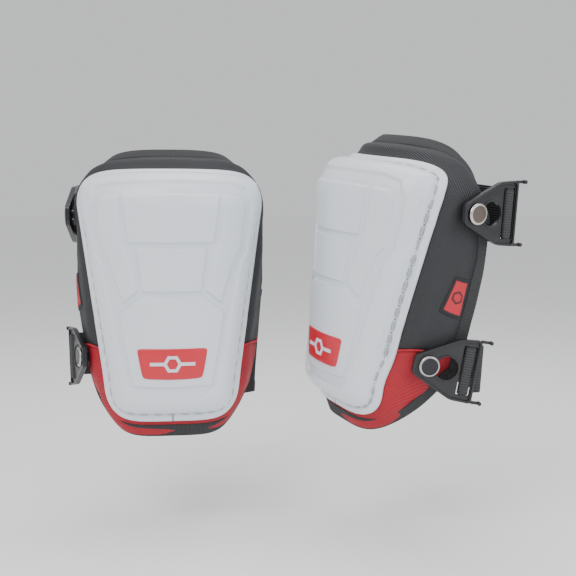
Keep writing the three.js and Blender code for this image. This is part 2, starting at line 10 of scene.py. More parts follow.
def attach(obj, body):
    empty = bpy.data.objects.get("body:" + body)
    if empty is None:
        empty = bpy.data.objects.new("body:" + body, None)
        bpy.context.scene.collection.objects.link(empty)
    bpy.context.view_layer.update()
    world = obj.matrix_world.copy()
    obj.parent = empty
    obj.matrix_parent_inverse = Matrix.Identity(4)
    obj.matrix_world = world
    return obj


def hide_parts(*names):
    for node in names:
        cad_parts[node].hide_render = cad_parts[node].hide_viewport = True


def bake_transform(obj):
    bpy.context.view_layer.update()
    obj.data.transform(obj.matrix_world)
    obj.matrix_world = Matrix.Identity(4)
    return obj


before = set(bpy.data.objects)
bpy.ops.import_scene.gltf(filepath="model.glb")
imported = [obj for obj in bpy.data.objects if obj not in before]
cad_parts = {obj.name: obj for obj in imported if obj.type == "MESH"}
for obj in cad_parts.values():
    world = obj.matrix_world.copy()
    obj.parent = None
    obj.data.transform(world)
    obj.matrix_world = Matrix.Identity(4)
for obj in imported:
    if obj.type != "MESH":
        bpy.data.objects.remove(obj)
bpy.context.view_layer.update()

bl_info = {
    "name": "Knee Pads",
    "version": (1, 0, 0),
    "blender": (4, 5, 0),
    "location": "View3D > Sidebar > Knee Pads",
    "description": "Builds a pair of strap-on knee pads, piece by piece",
    "category": "Object",
}

# ---- driving dimensions, in millimetres in each pad's own frame --------------------------
# Sections of the padded body, from its bottom hem to its top hem.
SECTIONS = {
    "y": [27, 14, 10, 9.5, 9.5, 9.7, 10, 13, 41, 52, 66],
    "z": [-2, 33, 67, 100, 134, 168, 201, 234, 258, 268, 278],
    "half": [58, 74, 84.5, 90, 93, 94, 94, 94, 84, 73, 60],
    "widest": [97, 97, 95, 93, 90, 86, 82, 84, 90, 93, 96],
    "back": [99, 101, 103, 106, 109, 113, 116, 116, 114, 111, 108],
    "power": [3.6, 3.3, 2.3, 2.05, 1.9, 1.8, 1.75, 1.85, 2, 2, 2],
}
SIDE_HEM = (80, 236)
ROW_RISE = 335
HEM_POWER = 3
INWARD_CURL = 0.012
CAP_LOW, CAP_HIGH = 13.5, 257.5
CAP_HALF_LOW, CAP_TAPER = 59.5, 0.1443
CAP_CORNER_LOW, CAP_CORNER_HIGH, CAP_CORNER_POWER = 30, 38, 6.2
CAP_THICK = 3.6
LIP_WIDTH = 9
DOME_RISE, DOME_RUN = 10, 20
FABRIC, FOAM_RIM, FOAM, LINING = 1.6, 3.2, 13, 1.6
LAYER_GAPS = 1.8
SEAM_MIDDLE, SEAM_SIDE = 0.24, 0.18
STUD_UPPER = {"y": 92, "z": 214, "droop": 0}
STUD_LOWER = {"y": 64, "z": 72, "droop": 7}
PLATE_FRONT, PLATE_REAR, PLATE_NARROW, PLATE_WIDE = -15, 46.5, 9, 29
PLATE_LIFT, PLATE_THICK = 5.3, 3.2
PLATE_TOP = PLATE_LIFT + PLATE_THICK
RIM_WIDE, RIM_TALL = 2.2, 1.6
HEAD_LOW = PLATE_TOP + RIM_TALL - 0.5
KEY_TRAVEL, KEY_BIG, KEY_SLOT = 17, 11, 4.6
BAR_FRONT, BAR_REAR, SLOT_FRONT, SLOT_REAR = 34, 40, 30.4, 43.6
WEBBING_WIDE, WEBBING_THICK = 45, 1.8
STRAP_HANG = 38.5
HOLLOW_CENTRE = (0, 60, 140)
LEFT_PLACE = (211.3, -19.6, 13)
TURN_RIGHT, TURN_LEFT, LEAN_LEFT, ROLL_LEFT = 7.35, -64.5, 0.4, 5.9
MM = 0.001
SIDES = ("right", "left")
LEVELS = ("upper", "lower")


# ---- the padded body's surface -----------------------------------------------------------
def smooth(low, high, x):
    k = np.clip((x - low) / (high - low), 0, 1)
    return k * k * (3 - 2 * k)


def lerp(a, b, k):
    return a + (b - a) * k


def section(field, v):
    """Catmull-Rom value of one field through the sections."""
    values = np.array(SECTIONS[field], float)
    last = len(values) - 1
    place = np.clip(v, 0, 1) * last
    i = np.minimum(last - 1, np.floor(place)).astype(int)
    k = place - i
    a, b, c, d = (values[np.clip(i + n, 0, last)] for n in (-1, 0, 1, 2))
    slope, after, rise = 0.5 * (c - a), 0.5 * (d - b), b - c
    return b + k * (slope + k * (-3 * rise - 2 * slope - after + k * (2 * rise + slope + after)))


def face(t, v):
    """The body's outer face: t from -1 to 1 round the knee, v from hem to hem."""
    t, v = np.broadcast_arrays(np.asarray(t, float), np.asarray(v, float))
    half, widest = section("half", v), section("widest", v)
    y, z = section("y", v), section("z", v)
    tail = np.maximum(0.5, section("back", v) - widest)
    power = 2 / section("power", v)
    bend = 0.8 * (half + widest - y)
    split = bend / (bend + tail)
    q = np.abs(t)
    height = z + (lerp(*SIDE_HEM, v) - z) * (1 - np.sqrt(np.maximum(0, 1 - q**HEM_POWER)))
    reach = section("half", v + (height - z) / ROW_RISE)
    past = np.maximum(0, (q - split) / (1 - split)) * tail
    angle = np.minimum(q / split, 1) * math.pi / 2
    sine, cosine = np.maximum(np.sin(angle), 0), np.maximum(np.cos(angle), 0)
    x = np.where(q > split, reach - INWARD_CURL * past * past / 2, reach * sine**power)
    deep = np.where(q > split, widest + past, widest - (widest - y) * cosine**power)
    return np.stack([np.sign(t) * x, deep, height], -1)


def unit(a):
    return a / np.maximum(np.linalg.norm(a, axis=-1, keepdims=True), 1e-9)


def face_normal(t, v, step=0.004):
    t, v = np.broadcast_arrays(np.asarray(t, float), np.asarray(v, float))
    across = face(t + step, v) - face(t - step, v)
    up = face(t, np.minimum(1, v + step)) - face(t, np.maximum(0, v - step))
    return unit(np.cross(across, up))


def offset(t, v, height):
    normal = face_normal(np.clip(t, -0.985, 0.985), np.clip(v, 0.006, 0.994))
    return face(t, v) + normal * np.asarray(height, float)[..., None]


def solve_face(goal, t, v, pick):
    """The (t, v) whose face point has the goal's chosen coordinates, by Newton steps."""
    step = 0.001
    for _ in range(24):
        miss = goal - face(t, v)[..., pick]
        along = (face(t + step, v) - face(t - step, v))[..., pick] / (2 * step)
        up = (face(t, v + step) - face(t, v - step))[..., pick] / (2 * step)
        det = along[..., 0] * up[..., 1] - along[..., 1] * up[..., 0]
        det = np.where(np.abs(det) < 1e-3, 1e-3, det)
        dt = (miss[..., 0] * up[..., 1] - miss[..., 1] * up[..., 0]) / det
        dv = (along[..., 0] * miss[..., 1] - along[..., 1] * miss[..., 0]) / det
        t = np.clip(t + np.clip(dt, -0.1, 0.1), -0.995, 0.995)
        v = np.clip(v + np.clip(dv, -0.1, 0.1), 0.001, 0.999)
    return t, v


def face_at(x, z):
    """The (t, v) seen from the front at x, z."""
    x, z = np.broadcast_arrays(np.asarray(x, float), np.asarray(z, float))
    start = np.interp(z, SECTIONS["z"], np.linspace(0, 1, 11))
    return solve_face(np.stack([x, z], -1), x / 135, np.clip(start, 0.02, 0.9), [0, 2])


def side_at(y, z):
    """The (t, v) seen from the side at y, z."""
    y, z = np.broadcast_arrays(np.asarray(y, float), np.asarray(z, float))
    goal = np.stack([y, z], -1)
    return solve_face(goal, np.full(y.shape, 0.75), np.clip(z / 300, 0.05, 0.75), [1, 2])


def nearest_face(goal, t, v):
    """The (t, v) of the face points nearest to the goals, from places close by."""
    step = 0.002
    for _ in range(14):
        along = (face(t + step, v) - face(t - step, v)) / (2 * step)
        up = (face(t, v + step) - face(t, v - step)) / (2 * step)
        miss = goal - face(t, v)
        a, b, c = (along**2).sum(-1), (along * up).sum(-1), (up**2).sum(-1)
        p, q = (along * miss).sum(-1), (up * miss).sum(-1)
        t = np.clip(t + (p * c - q * b) / (a * c - b * b), -0.99, 0.99)
        v = np.clip(v + (q * a - p * b) / (a * c - b * b), 0.004, 0.996)
    return t, v


def seam_v(t):
    return lerp(SEAM_MIDDLE, SEAM_SIDE, smooth(0.6, 1, np.abs(t)))


def foam_depth(t, v):
    height = lerp(335, 150, t * t)
    inward = np.minimum((1 - np.abs(t)) * 145, np.minimum(v, 1 - v) * height)
    return lerp(FOAM_RIM, FOAM, smooth(16, 55, inward))


def square_loop(across, along):
    """Places round a square from -1 to 1 and 0 to 1, closer together at its corners."""
    k = np.sin(np.linspace(-1, 1, across, endpoint=False) * math.pi / 2)
    s = np.linspace(0, 1, along, endpoint=False)
    bottom = np.stack([k, 0 * k], -1)
    right = np.stack([0 * s + 1, s], -1)
    top = np.stack([-k, 0 * k + 1], -1)
    left = np.stack([0 * s - 1, 1 - s], -1)
    return np.concatenate([bottom, right, top, left])


def even_loop(points, count):
    """A closed line of points, spaced evenly."""
    closed = np.vstack([points, points[:1]])
    run = np.concatenate([[0], np.cumsum(np.linalg.norm(np.diff(closed, axis=0), axis=1))])
    at = np.linspace(0, run[-1], count, endpoint=False)
    return np.stack([np.interp(at, run, closed[:, k]) for k in range(3)], -1), run[-1]


# ---- meshes ----------------------------------------------------------------------------
def pad_matrix(side):
    """From a pad's own frame in millimetres to the row frame in metres."""
    matrix = Matrix.Translation(-Vector(HOLLOW_CENTRE))
    if side == "right":
        matrix = Matrix.Rotation(math.radians(TURN_RIGHT), 4, "Z") @ Matrix.Scale(-1, 4, (1, 0, 0)) @ matrix
    else:
        turn = Matrix.Rotation(math.radians(TURN_LEFT), 4, "Z")
        turn = turn @ Matrix.Rotation(math.radians(-LEAN_LEFT), 4, "X")
        turn = turn @ Matrix.Rotation(math.radians(ROLL_LEFT), 4, "Y")
        matrix = Matrix.Translation(LEFT_PLACE) @ turn @ matrix
    return Matrix.Scale(MM, 4) @ matrix


def stud_frame(spec):
    """A stud's frame in its pad: +X to the rear, +Y up, +Z away from the fabric."""
    t, v = side_at(spec["y"], spec["z"])
    out = Vector(face_normal(t, v))
    out.z = 0
    out.normalize()
    rear = Vector((-out.y, out.x, 0))
    up = out.cross(rear)
    place = Matrix((rear, up, out)).transposed().to_4x4()
    place.translation = Vector(face(t, v))
    return place @ Matrix.Rotation(math.radians(-spec["droop"]), 4, "Z")


def apply(matrix, points):
    points = np.asarray(points, float)
    m = np.array(matrix)
    return points @ m[:3, :3].T + m[:3, 3]


def mesh_object(name, points, faces, matrix, uv=None):
    """A smooth mesh object at the origin, its points placed by the matrix, in metres."""
    if matrix.determinant() < 0:
        faces = [tuple(reversed(f)) for f in faces] if isinstance(faces, list) else faces[:, ::-1]
    mesh = bpy.data.meshes.new(name)
    faces = [tuple(map(int, f)) for f in faces] if isinstance(faces, list) else faces.tolist()
    points = apply(matrix, points)
    mesh.from_pydata(points.tolist(), [], faces)
    if uv is not None:
        layer = mesh.uv_layers.new(name="weave")
        corners = np.empty(len(mesh.loops), int)
        mesh.loops.foreach_get("vertex_index", corners)
        layer.data.foreach_set("uv", np.asarray(uv, float)[corners].astype(np.float32).ravel())
    piece = bpy.data.objects.new(name, mesh)
    bpy.context.collection.objects.link(piece)
    select(piece)
    bpy.ops.object.shade_smooth()
    return piece


def select(*pieces):
    bpy.ops.object.select_all(action="DESELECT")
    for piece in pieces:
        piece.select_set(True)
    bpy.context.view_layer.objects.active = pieces[0]


def grid_faces(rows, columns, round_rows=False, round_columns=False):
    i = np.arange(rows if round_rows else rows - 1)[:, None]
    j = np.arange(columns if round_columns else columns - 1)[None, :]
    a = i * columns + j
    b = i * columns + (j + 1) % columns
    c = ((i + 1) % rows) * columns + (j + 1) % columns
    d = ((i + 1) % rows) * columns + j
    return np.stack([a, b, c, d], -1).reshape(-1, 4)


def arc_uv(points):
    """A UV of the lengths along a grid's middle lines, in millimetres."""
    rows, columns = points.shape[:2]
    along = np.linalg.norm(np.diff(points, axis=1), axis=-1)
    along = np.concatenate([np.zeros((rows, 1)), np.cumsum(along, 1)], 1)
    along -= along[:, columns // 2][:, None]
    up = np.linalg.norm(np.diff(points, axis=0), axis=-1)
    up = np.concatenate([np.zeros((1, columns)), np.cumsum(up, 0)], 0)
    up -= up[rows // 2][None, :]
    return np.stack([along, up], -1).reshape(-1, 2)


def skin(name, points, matrix, uv=None):
    rows, columns = points.shape[:2]
    uv = arc_uv(points) if uv is None else uv
    return mesh_object(name, points.reshape(-1, 3), grid_faces(rows, columns), matrix, uv)


def sweep(name, path, wide, thick, section_points, matrix, closed=False, uv=None):
    """A solid whose section (across, deep) follows a path with its own directions."""
    count, sides = len(path), len(section_points)
    s = np.asarray(section_points, float)
    points = path[:, None] + s[None, :, :1] * wide[:, None] + s[None, :, 1:] * thick[:, None]
    faces = grid_faces(count, sides, closed, True).tolist()
    if not closed:
        faces.append(list(range(sides))[::-1])
        faces.append([(count - 1) * sides + k for k in range(sides)])
    faces = [tuple(f) for f in faces]
    if uv is None:
        run = np.concatenate([[0], np.cumsum(np.linalg.norm(np.diff(path, axis=0), axis=1))])
        uv = np.stack(np.broadcast_arrays(run[:, None], s[None, :, 0]), -1).reshape(-1, 2)
    piece = mesh_object(name, points.reshape(-1, 3), faces, matrix, uv)
    recalculate(piece)
    return piece


def recalculate(piece):
    select(piece)
    bpy.ops.object.mode_set(mode="EDIT")
    bpy.ops.mesh.select_all(action="SELECT")
    bpy.ops.mesh.normals_make_consistent(inside=False)
    bpy.ops.object.mode_set(mode="OBJECT")


def flat_section(wide, thick, count=14):
    """A webbing's section: flat with rounded selvedges, across and deep."""
    edge = min(thick * 0.5, wide * 0.5)
    across = np.linspace(-wide / 2 + edge, wide / 2 - edge, count)
    turn = np.linspace(-math.pi / 2, math.pi / 2, 5)[1:-1]
    right = np.stack([wide / 2 - edge + edge * np.cos(turn), thick / 2 * np.sin(turn)], -1)
    low = np.stack([across, 0 * across - thick / 2], -1)
    return np.concatenate([low, right, -low, -right])


def finish_piece(piece, side, material, nodes=(), body=None):
    piece.data.materials.clear()
    piece.data.materials.append(material)
    if nodes:
        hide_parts(*[f"{side}_{n}" for n in nodes])
    if body != "":
        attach(piece, body or f"{side}_pad")
    return piece


# ---- materials -------------------------------------------------------------------------
class Value:
    """A socket that can be added, multiplied and compared with plain operators."""

    def __init__(self, build, socket):
        self.build, self.socket = build, socket

    def __add__(self, other):
        return self.build.math("ADD", self, other)

    def __sub__(self, other):
        return self.build.math("SUBTRACT", self, other)

    def __rsub__(self, other):
        return self.build.math("SUBTRACT", other, self)

    def __mul__(self, other):
        return self.build.math("MULTIPLY", self, other)

    def __truediv__(self, other):
        return self.build.math("DIVIDE", self, other)

    __radd__, __rmul__ = __add__, __mul__


class Finish:
    """Builds one procedural material."""

    def __init__(self, name, colour, roughness, metallic=0.0, coat=0.0):
        self.material = bpy.data.materials.new(name)
        self.material.use_nodes = True
        self.tree = self.material.node_tree
        self.shader = self.tree.nodes["Principled BSDF"]
        self.material.diffuse_color = (*colour, 1)
        self.set(self.shader.inputs["Base Color"], (*colour, 1))
        self.set(self.shader.inputs["Roughness"], roughness)
        self.set(self.shader.inputs["Metallic"], metallic)
        self.set(self.shader.inputs["Coat Weight"], coat)
        self.height = None

    def set(self, socket, value):
        if isinstance(value, Value):
            self.tree.links.new(value.socket, socket)
        else:
            socket.default_value = value

    def node(self, kind, output=0, inputs=(), **fields):
        made = self.tree.nodes.new(kind)
        for key, value in fields.items():
            setattr(made, key, value)
        for key, value in dict(inputs).items():
            self.set(made.inputs[key], value)
        return Value(self, made.outputs[output])

    def math(self, operation, a, b=0.0, c=0.0):
        made = self.tree.nodes.new("ShaderNodeMath")
        made.operation = operation
        for socket, value in zip(made.inputs, (a, b, c)):
            self.set(socket, value)
        return Value(self, made.outputs[0])

    def uv(self):
        place = self.node("ShaderNodeUVMap", uv_map="weave")
        parts = self.node("ShaderNodeSeparateXYZ", inputs={0: place})
        return Value(self, parts.socket.node.outputs[0]), Value(self, parts.socket.node.outputs[1])

    def place(self):
        return self.node("ShaderNodeTexCoord", output="Object")

    def noise(self, scale, detail=3.0, roughness=0.55, vector=None):
        inputs = {"Vector": vector or self.place(), "Scale": scale, "Detail": detail, "Roughness": roughness}
        return self.node("ShaderNodeTexNoise", inputs=inputs)

    def wave(self, x, pitch):
        """A smooth ridge from 0 to 1 every pitch."""
        return self.math("SINE", x * (2 * math.pi / pitch)) * 0.5 + 0.5

    def ramp(self, x, low, high):
        inputs = {"Value": x, "From Min": low, "From Max": high}
        return self.node("ShaderNodeMapRange", inputs=inputs, interpolation_type="SMOOTHSTEP")

    def colours(self, mask, low, high):
        inputs = {0: mask, 6: (*low, 1) if isinstance(low, tuple) else low, 7: (*high, 1)}
        return self.node("ShaderNodeMix", output=2, inputs=inputs, data_type="RGBA")

    def bump(self, height, distance, strength=1.0):
        inputs = {"Height": height, "Distance": distance, "Strength": strength}
        if self.height is not None:
            inputs["Normal"] = self.height
        self.height = self.node("ShaderNodeBump", inputs=inputs)
        self.set(self.shader.inputs["Normal"], self.height)

    def look(self, colour=None, roughness=None, coat=None):
        for name, value in (("Base Color", colour), ("Roughness", roughness), ("Coat Weight", coat)):
            if value is not None:
                self.set(self.shader.inputs[name], value)
        return self.material


def twill(finish, pitch=1.9, slope=0.62):
    """Diagonal rows of a coated ballistic weave, with its crossing threads."""
    across, up = finish.uv()
    wander = finish.noise(60.0, 2.0) * 0.7
    rows = finish.wave(up + across * slope + wander, pitch)
    threads = finish.wave(across - up * slope * 0.4 + wander, pitch * 0.72)
    return rows * 0.65 + rows * threads * 0.35


def cloth_finish(name, low, high, roughness=0.62, pitch=1.9, depth=0.00035):
    finish = Finish(name, high, roughness)
    weave = twill(finish, pitch)
    wear = finish.ramp(finish.noise(14.0, 5.0, 0.62), 0.42, 0.72)
    shade = finish.ramp(weave + wear * 0.18, 0.12, 0.95)
    finish.bump(weave, depth, 0.75)
    finish.bump(finish.noise(28.0, 3.0), 0.0012, 0.25)
    rough = weave * -0.16 + wear * 0.1 + roughness + 0.06
    return finish.look(finish.colours(shade, low, high), rough)


def plastic_finish(name, colour, roughness, coat=0.0, scuff=0.12, grain=0.00006, dull=0.9):
    finish = Finish(name, colour, roughness, coat=coat)
    scratch = finish.noise(150.0, 6.0, 0.7)
    cloud = finish.ramp(finish.noise(9.0, 4.0), 0.35, 0.7)
    mark = finish.ramp(scratch, 0.56, 0.72) * cloud
    shade = finish.colours(mark * scuff + cloud * 0.25, colour, tuple(c * dull for c in colour))
    finish.bump(finish.noise(900.0, 2.0), grain, 0.5)
    return finish.look(shade, mark * 0.14 + cloud * 0.05 + roughness)


def tape_finish(name, low, high, pitch=1.25, lengthwise=False, roughness=0.7):
    """Ribbed tape or webbing, its ribs across it or along it."""
    finish = Finish(name, high, roughness)
    along, across = finish.uv()
    ribs = finish.wave(across if lengthwise else along, pitch)
    picks = finish.wave((along if lengthwise else across) + finish.noise(40.0, 2.0) * 0.5, pitch * 0.8)
    weave = ribs * 0.7 + ribs * picks * 0.3
    wear = finish.ramp(finish.noise(22.0, 4.0), 0.4, 0.7)
    finish.bump(weave, 0.0004, 0.8)
    return finish.look(finish.colours(weave * 0.8 + wear * 0.2, low, high), wear * 0.1 + roughness)


def thread_finish(name, low, high):
    finish = Finish(name, high, 0.6)
    along, around = finish.uv()
    twist = finish.wave(along + around * 0.7, 1.5)
    finish.bump(twist, 0.0003, 0.9)
    return finish.look(finish.colours(twist, low, high))


def metal_finish(name, colour, rim, roughness):
    """A dark plated head with turned rings and a painted highlight on its rounded rim, by its own radius in
    the UV.
    """
    finish = Finish(name, colour, roughness, metallic=1.0)
    radius, _ = finish.uv()
    # Brighter colour from radius 7.6 mm outward: a painted highlight on the rounded rim.
    edge = finish.ramp(radius, 7.6, 8.6)
    turned = finish.wave(radius + finish.noise(200.0, 2.0) * 0.3, 0.55)
    spots = finish.ramp(finish.noise(120.0, 5.0, 0.7), 0.5, 0.7)
    finish.bump(turned, 0.00002, 0.6)
    rough = spots * 0.2 + turned * 0.05 + roughness
    return finish.look(finish.colours(edge, colour, rim), rough)


def label_finish():
    """A woven label: a dark border, a red field and a plain six-sided ring."""
    finish = Finish("label_weave", (0.5, 0.03, 0.05), 0.65)
    across, up = finish.uv()
    threads = finish.wave(up, 0.7) * 0.5 + finish.wave(across, 0.7) * 0.5
    side = finish.math("ABSOLUTE", across)
    rise = finish.math("ABSOLUTE", up)
    field = finish.ramp(side, 7.6, 7.0) * finish.ramp(rise, 14.4, 13.6)
    corner = finish.math("MAXIMUM", side, side * 0.5 + rise * 0.866)
    ring = finish.ramp(finish.math("ABSOLUTE", corner - 4.4), 1.1, 0.7)
    red = finish.colours(field, (0.012, 0.012, 0.014), (0.55, 0.02, 0.035))
    colour = finish.colours(ring * 0.9, red, (0.02, 0.018, 0.02))
    finish.bump(threads, 0.0002, 0.7)
    return finish.look(colour, threads * 0.1 + 0.6)


def soft_finish(name, low, high, scale=260.0, depth=0.0006):
    finish = Finish(name, high, 0.9)
    pile = finish.noise(scale, 4.0, 0.7)
    finish.bump(pile, depth, 0.7)
    return finish.look(finish.colours(pile, low, high))


MATERIALS = {}


def make_materials():
    black_low, black_high = (0.006, 0.0065, 0.008), (0.045, 0.047, 0.053)
    MATERIALS.update(
        cap=plastic_finish("cap_plastic", (0.74, 0.79, 0.85), 0.36, coat=0.15),
        badge=plastic_finish("badge_plastic", (0.62, 0.012, 0.03), 0.38, coat=0.2),
        mark=plastic_finish("mark_plastic", (0.72, 0.76, 0.82), 0.4),
        black=cloth_finish("black_nylon", black_low, black_high),
        red=cloth_finish("red_nylon", (0.2, 0.004, 0.012), (0.66, 0.012, 0.03)),
        lining=soft_finish("lining_knit", (0.008, 0.008, 0.009), (0.04, 0.04, 0.043)),
        binding=tape_finish("binding_twill", (0.008, 0.008, 0.009), (0.06, 0.062, 0.066)),
        webbing=tape_finish("webbing_ribs", (0.006, 0.006, 0.007), (0.045, 0.046, 0.05), 2.4, True, 0.5),
        wrap=tape_finish("wrap_elastic", (0.006, 0.006, 0.007), (0.035, 0.036, 0.04), 1.6, True),
        hook=soft_finish("hook_tape", (0.005, 0.005, 0.006), (0.03, 0.03, 0.033), 700.0, 0.001),
        thread=thread_finish("white_thread", (0.34, 0.35, 0.37), (0.6, 0.61, 0.63)),
        piping=thread_finish("red_piping", (0.3, 0.006, 0.015), (0.62, 0.012, 0.03)),
        # needle holes: a dark colour painted as the shade inside the holes, which are not modelled
        hole=plastic_finish("needle_hole", (0.16, 0.165, 0.175), 0.8),
        buckle=plastic_finish("buckle_plastic", (0.011, 0.011, 0.013), 0.3, coat=0.1, dull=2.2, scuff=0.5),
        collar=plastic_finish("collar_plastic", (0.012, 0.012, 0.014), 0.5),
        # The rim colours of the studs and the washer are painted highlights on their rounded rims.
        upper_stud=metal_finish("stud_nickel", (0.17, 0.14, 0.12), (0.62, 0.6, 0.58), 0.28),
        lower_stud=metal_finish("stud_black", (0.05, 0.05, 0.055), (0.5, 0.5, 0.5), 0.3),
        washer=metal_finish("washer_steel", (0.4, 0.4, 0.4), (0.5, 0.5, 0.5), 0.4),
        foam=soft_finish("foam_cells", (0.05, 0.05, 0.055), (0.1, 0.1, 0.11)),
        gel=plastic_finish("gel", (0.15, 0.34, 0.55), 0.2, coat=0.4),
        label=label_finish(),
    )


# ---- the kneeling cap --------------------------------------------------------------------
UPPER_PANEL = [(-41.5, 230), (41.5, 230), (35.5, 187.9), (-35.5, 187.9)]
MIDDLE_PANEL = [(-29.2, 182.2), (29.2, 182.2), (24.5, 141.5), (-24.5, 141.5)]
LOWER_PANEL = [(-26, 135.8), (26, 135.8), (44.3, 120.7), (34.2, 51.1), (-34.2, 51.1), (-44.3, 120.7)]
SIDE_PANEL = [
    (47, 230), (60, 229.1), (64, 224.3), (59, 179.8), (53, 171.3), (41, 130.6), (28.6, 142), (41.4, 186.9),
]
FIELD_HALF = [(52, 238), (66, 235), (71.5, 224), (65.3, 177.5), (59.5, 167.5), (38, 49), (30, 42)]
UPPER_FLANK = [(80, 225.3), (84.5, 219.1), (80, 186.5), (72, 180.8)]
LOWER_FLANK = [(79, 175.7), (72, 166.3), (69, 147.7), (59, 84), (64, 71.6), (73, 116.4)]
BADGE = [(-29.8, 87.5), (29.8, 87.5), (25.8, 58.5), (-25.8, 58.5)]


def mirrored(points):
    return [(-x, z) for x, z in points][::-1]


def inside_depth(points, x, z):
    """Depth inside a polygon, negative outside it."""
    corners = np.array(points, float)
    best = np.full(x.shape, 1e9)
    inside = np.zeros(x.shape, bool)
    for (x0, z0), (x1, z1) in zip(corners, np.roll(corners, -1, 0)):
        run = (x1 - x0) ** 2 + (z1 - z0) ** 2
        k = np.clip(((x - x0) * (x1 - x0) + (z - z0) * (z1 - z0)) / run, 0, 1)
        best = np.minimum(best, np.hypot(x - x0 - k * (x1 - x0), z - z0 - k * (z1 - z0)))
        if z0 != z1:
            crosses = (z0 > z) != (z1 > z)
            inside ^= crosses & (x < x0 + (z - z0) / (z1 - z0) * (x1 - x0))
    return np.where(inside, best, -best)


def cap_place(across, up):
    corner = 1 - np.sqrt(np.maximum(0, 1 - np.abs(across) ** CAP_CORNER_POWER))
    z = lerp(CAP_LOW + CAP_CORNER_LOW * corner, CAP_HIGH - CAP_CORNER_HIGH * corner, up)
    return across * (CAP_HALF_LOW + CAP_TAPER * (z - CAP_LOW)), z


def cap_edge(count=480):
    loop = square_loop(120, 60)
    t, v = face_at(*cap_place(loop[:, 0], loop[:, 1]))
    points, length = even_loop(face(t, v), count)
    return points, length


def edge_distance(points, edge):
    flat = points.reshape(-1, 3)
    after = np.roll(edge, -1, 0)
    span = after - edge
    best = np.full(len(flat), 1e9)
    for start in range(0, len(flat), 4000):
        part = flat[start : start + 4000, None]
        k = np.clip(((part - edge) * span).sum(-1) / (span * span).sum(-1), 0, 1)
        near = np.linalg.norm(part - edge - k[..., None] * span, axis=-1)
        best[start : start + 4000] = near.min(1)
    return best.reshape(points.shape[:-1])


def dome_height(distance):
    past = np.clip((distance - LIP_WIDTH) / DOME_RUN, 0, 1)
    edge = 1 - np.clip(distance / 2.0, 0, 1)
    rolled = 0.3 + (CAP_THICK - 0.3) * np.sqrt(np.maximum(0, 1 - edge**2))
    return rolled + DOME_RISE * (1 - (1 - past) ** 2.4)


def groove(distance):
    """The channel along the lip that the stitches lie in."""
    return np.exp(-(((distance - STITCH_IN) / 2.0) ** 4)) * 1.0


def relief(x, z):
    """The moulded panels: a sunk field, raised panels in it and two sunk facets down each flank."""
    def step(points, soft=0.6):
        return smooth(-soft, soft, inside_depth(points, x, z))

    field = step(FIELD_HALF + mirrored(FIELD_HALF))
    panels = np.maximum.reduce([step(p) for p in (UPPER_PANEL, MIDDLE_PANEL, LOWER_PANEL)])
    sides = np.maximum(step(SIDE_PANEL), step(mirrored(SIDE_PANEL)))
    height = lerp(-1.9 * field, 0.55, np.maximum(panels, sides))
    for points in (UPPER_FLANK, LOWER_FLANK):
        inset = np.maximum(step(points, 1.1), step(mirrored(points), 1.1))
        height = height - 1.5 * inset
    return height


STITCH_IN = 9.2
STITCH_PITCH = 13.0
CAP_CACHE = {}


def cap_surface():
    """The cap's outer points and the place of each on the body, worked out once."""
    if not CAP_CACHE:
        k = np.linspace(-1, 1, 300)
        across = lerp(k, np.sin(k * math.pi / 2), 0.5)
        s = np.linspace(-1, 1, 320)
        up = (lerp(s, np.sin(s * math.pi / 2), 0.25) + 1) / 2
        x, z = cap_place(across[None, :] + 0 * up[:, None], up[:, None] + 0 * across[None, :])
        t, v = face_at(x, z)
        edge, length = cap_edge()
        distance = edge_distance(face(t, v), edge)
        height = dome_height(distance) - groove(distance) + relief(x, z)
        CAP_CACHE.update(points=offset(t, v, height), x=x, z=z, edge=edge, length=length)
    return CAP_CACHE


def make_cap(side):
    data = cap_surface()
    matrix = pad_matrix(side)
    uv = np.stack([data["x"], data["z"]], -1).reshape(-1, 2)
    piece = skin(f"{side}_cap_shell", data["points"], matrix, uv)
    finish_piece(piece, side, MATERIALS["cap"], ["cap"])


def cap_height_at(t, v):
    distance = edge_distance(face(t, v), cap_surface()["edge"])
    return dome_height(distance)


def make_badge(side):
    """The red plate on the cap's lower panel, with its edges rolled down."""
    rows, columns = 60, 90
    k = np.linspace(0, 1, rows)[:, None]
    j = np.linspace(-1, 1, columns)[None, :]
    (low_x, low_z), (high_x, high_z) = BADGE[2], BADGE[1]
    z = lerp(low_z, high_z, k) + 0 * j
    x = lerp(low_x, high_x, k) * j
    square = np.maximum(np.abs(j), np.abs(2 * k - 1)) ** 12
    corner = 1 - 0.055 * square * np.minimum(np.abs(j) + 0 * k, np.abs(2 * k - 1) + 0 * j) ** 12
    middle = (low_z + high_z) / 2
    x, z = x * corner, middle + (z - middle) * corner
    t, v = face_at(x, z)
    depth = np.minimum.reduce([(1 - np.abs(j)) * 28 + 0 * k, k * 29.5 + 0 * j, (1 - k) * 29.5 + 0 * j])
    roll = np.sqrt(np.maximum(0, 1 - (1 - np.clip(depth / 1.6, 0, 1)) ** 2))
    bevel = smooth(1.6, 4.0, depth) * 0.35
    height = cap_height_at(t, v) + 0.4 + 1.45 * roll + bevel
    piece = skin(f"{side}_badge_plate", offset(t, v, height), pad_matrix(side))
    finish_piece(piece, side, MATERIALS["badge"], ["badge"])


def stitch_line(count):
    """Points and directions along the cap's stitch groove."""
    edge, _ = even_loop(cap_surface()["edge"], count)
    before, after = np.roll(edge, 1, 0), np.roll(edge, -1, 0)
    t, v = face_at(edge[:, 0] * 0.999, edge[:, 2])
    normal = face_normal(t, v)
    inward = unit(np.cross(normal, after - before))
    t, v = nearest_face(edge + inward * STITCH_IN, t * 0.95, lerp(v, 0.5, 0.05))
    return t, v


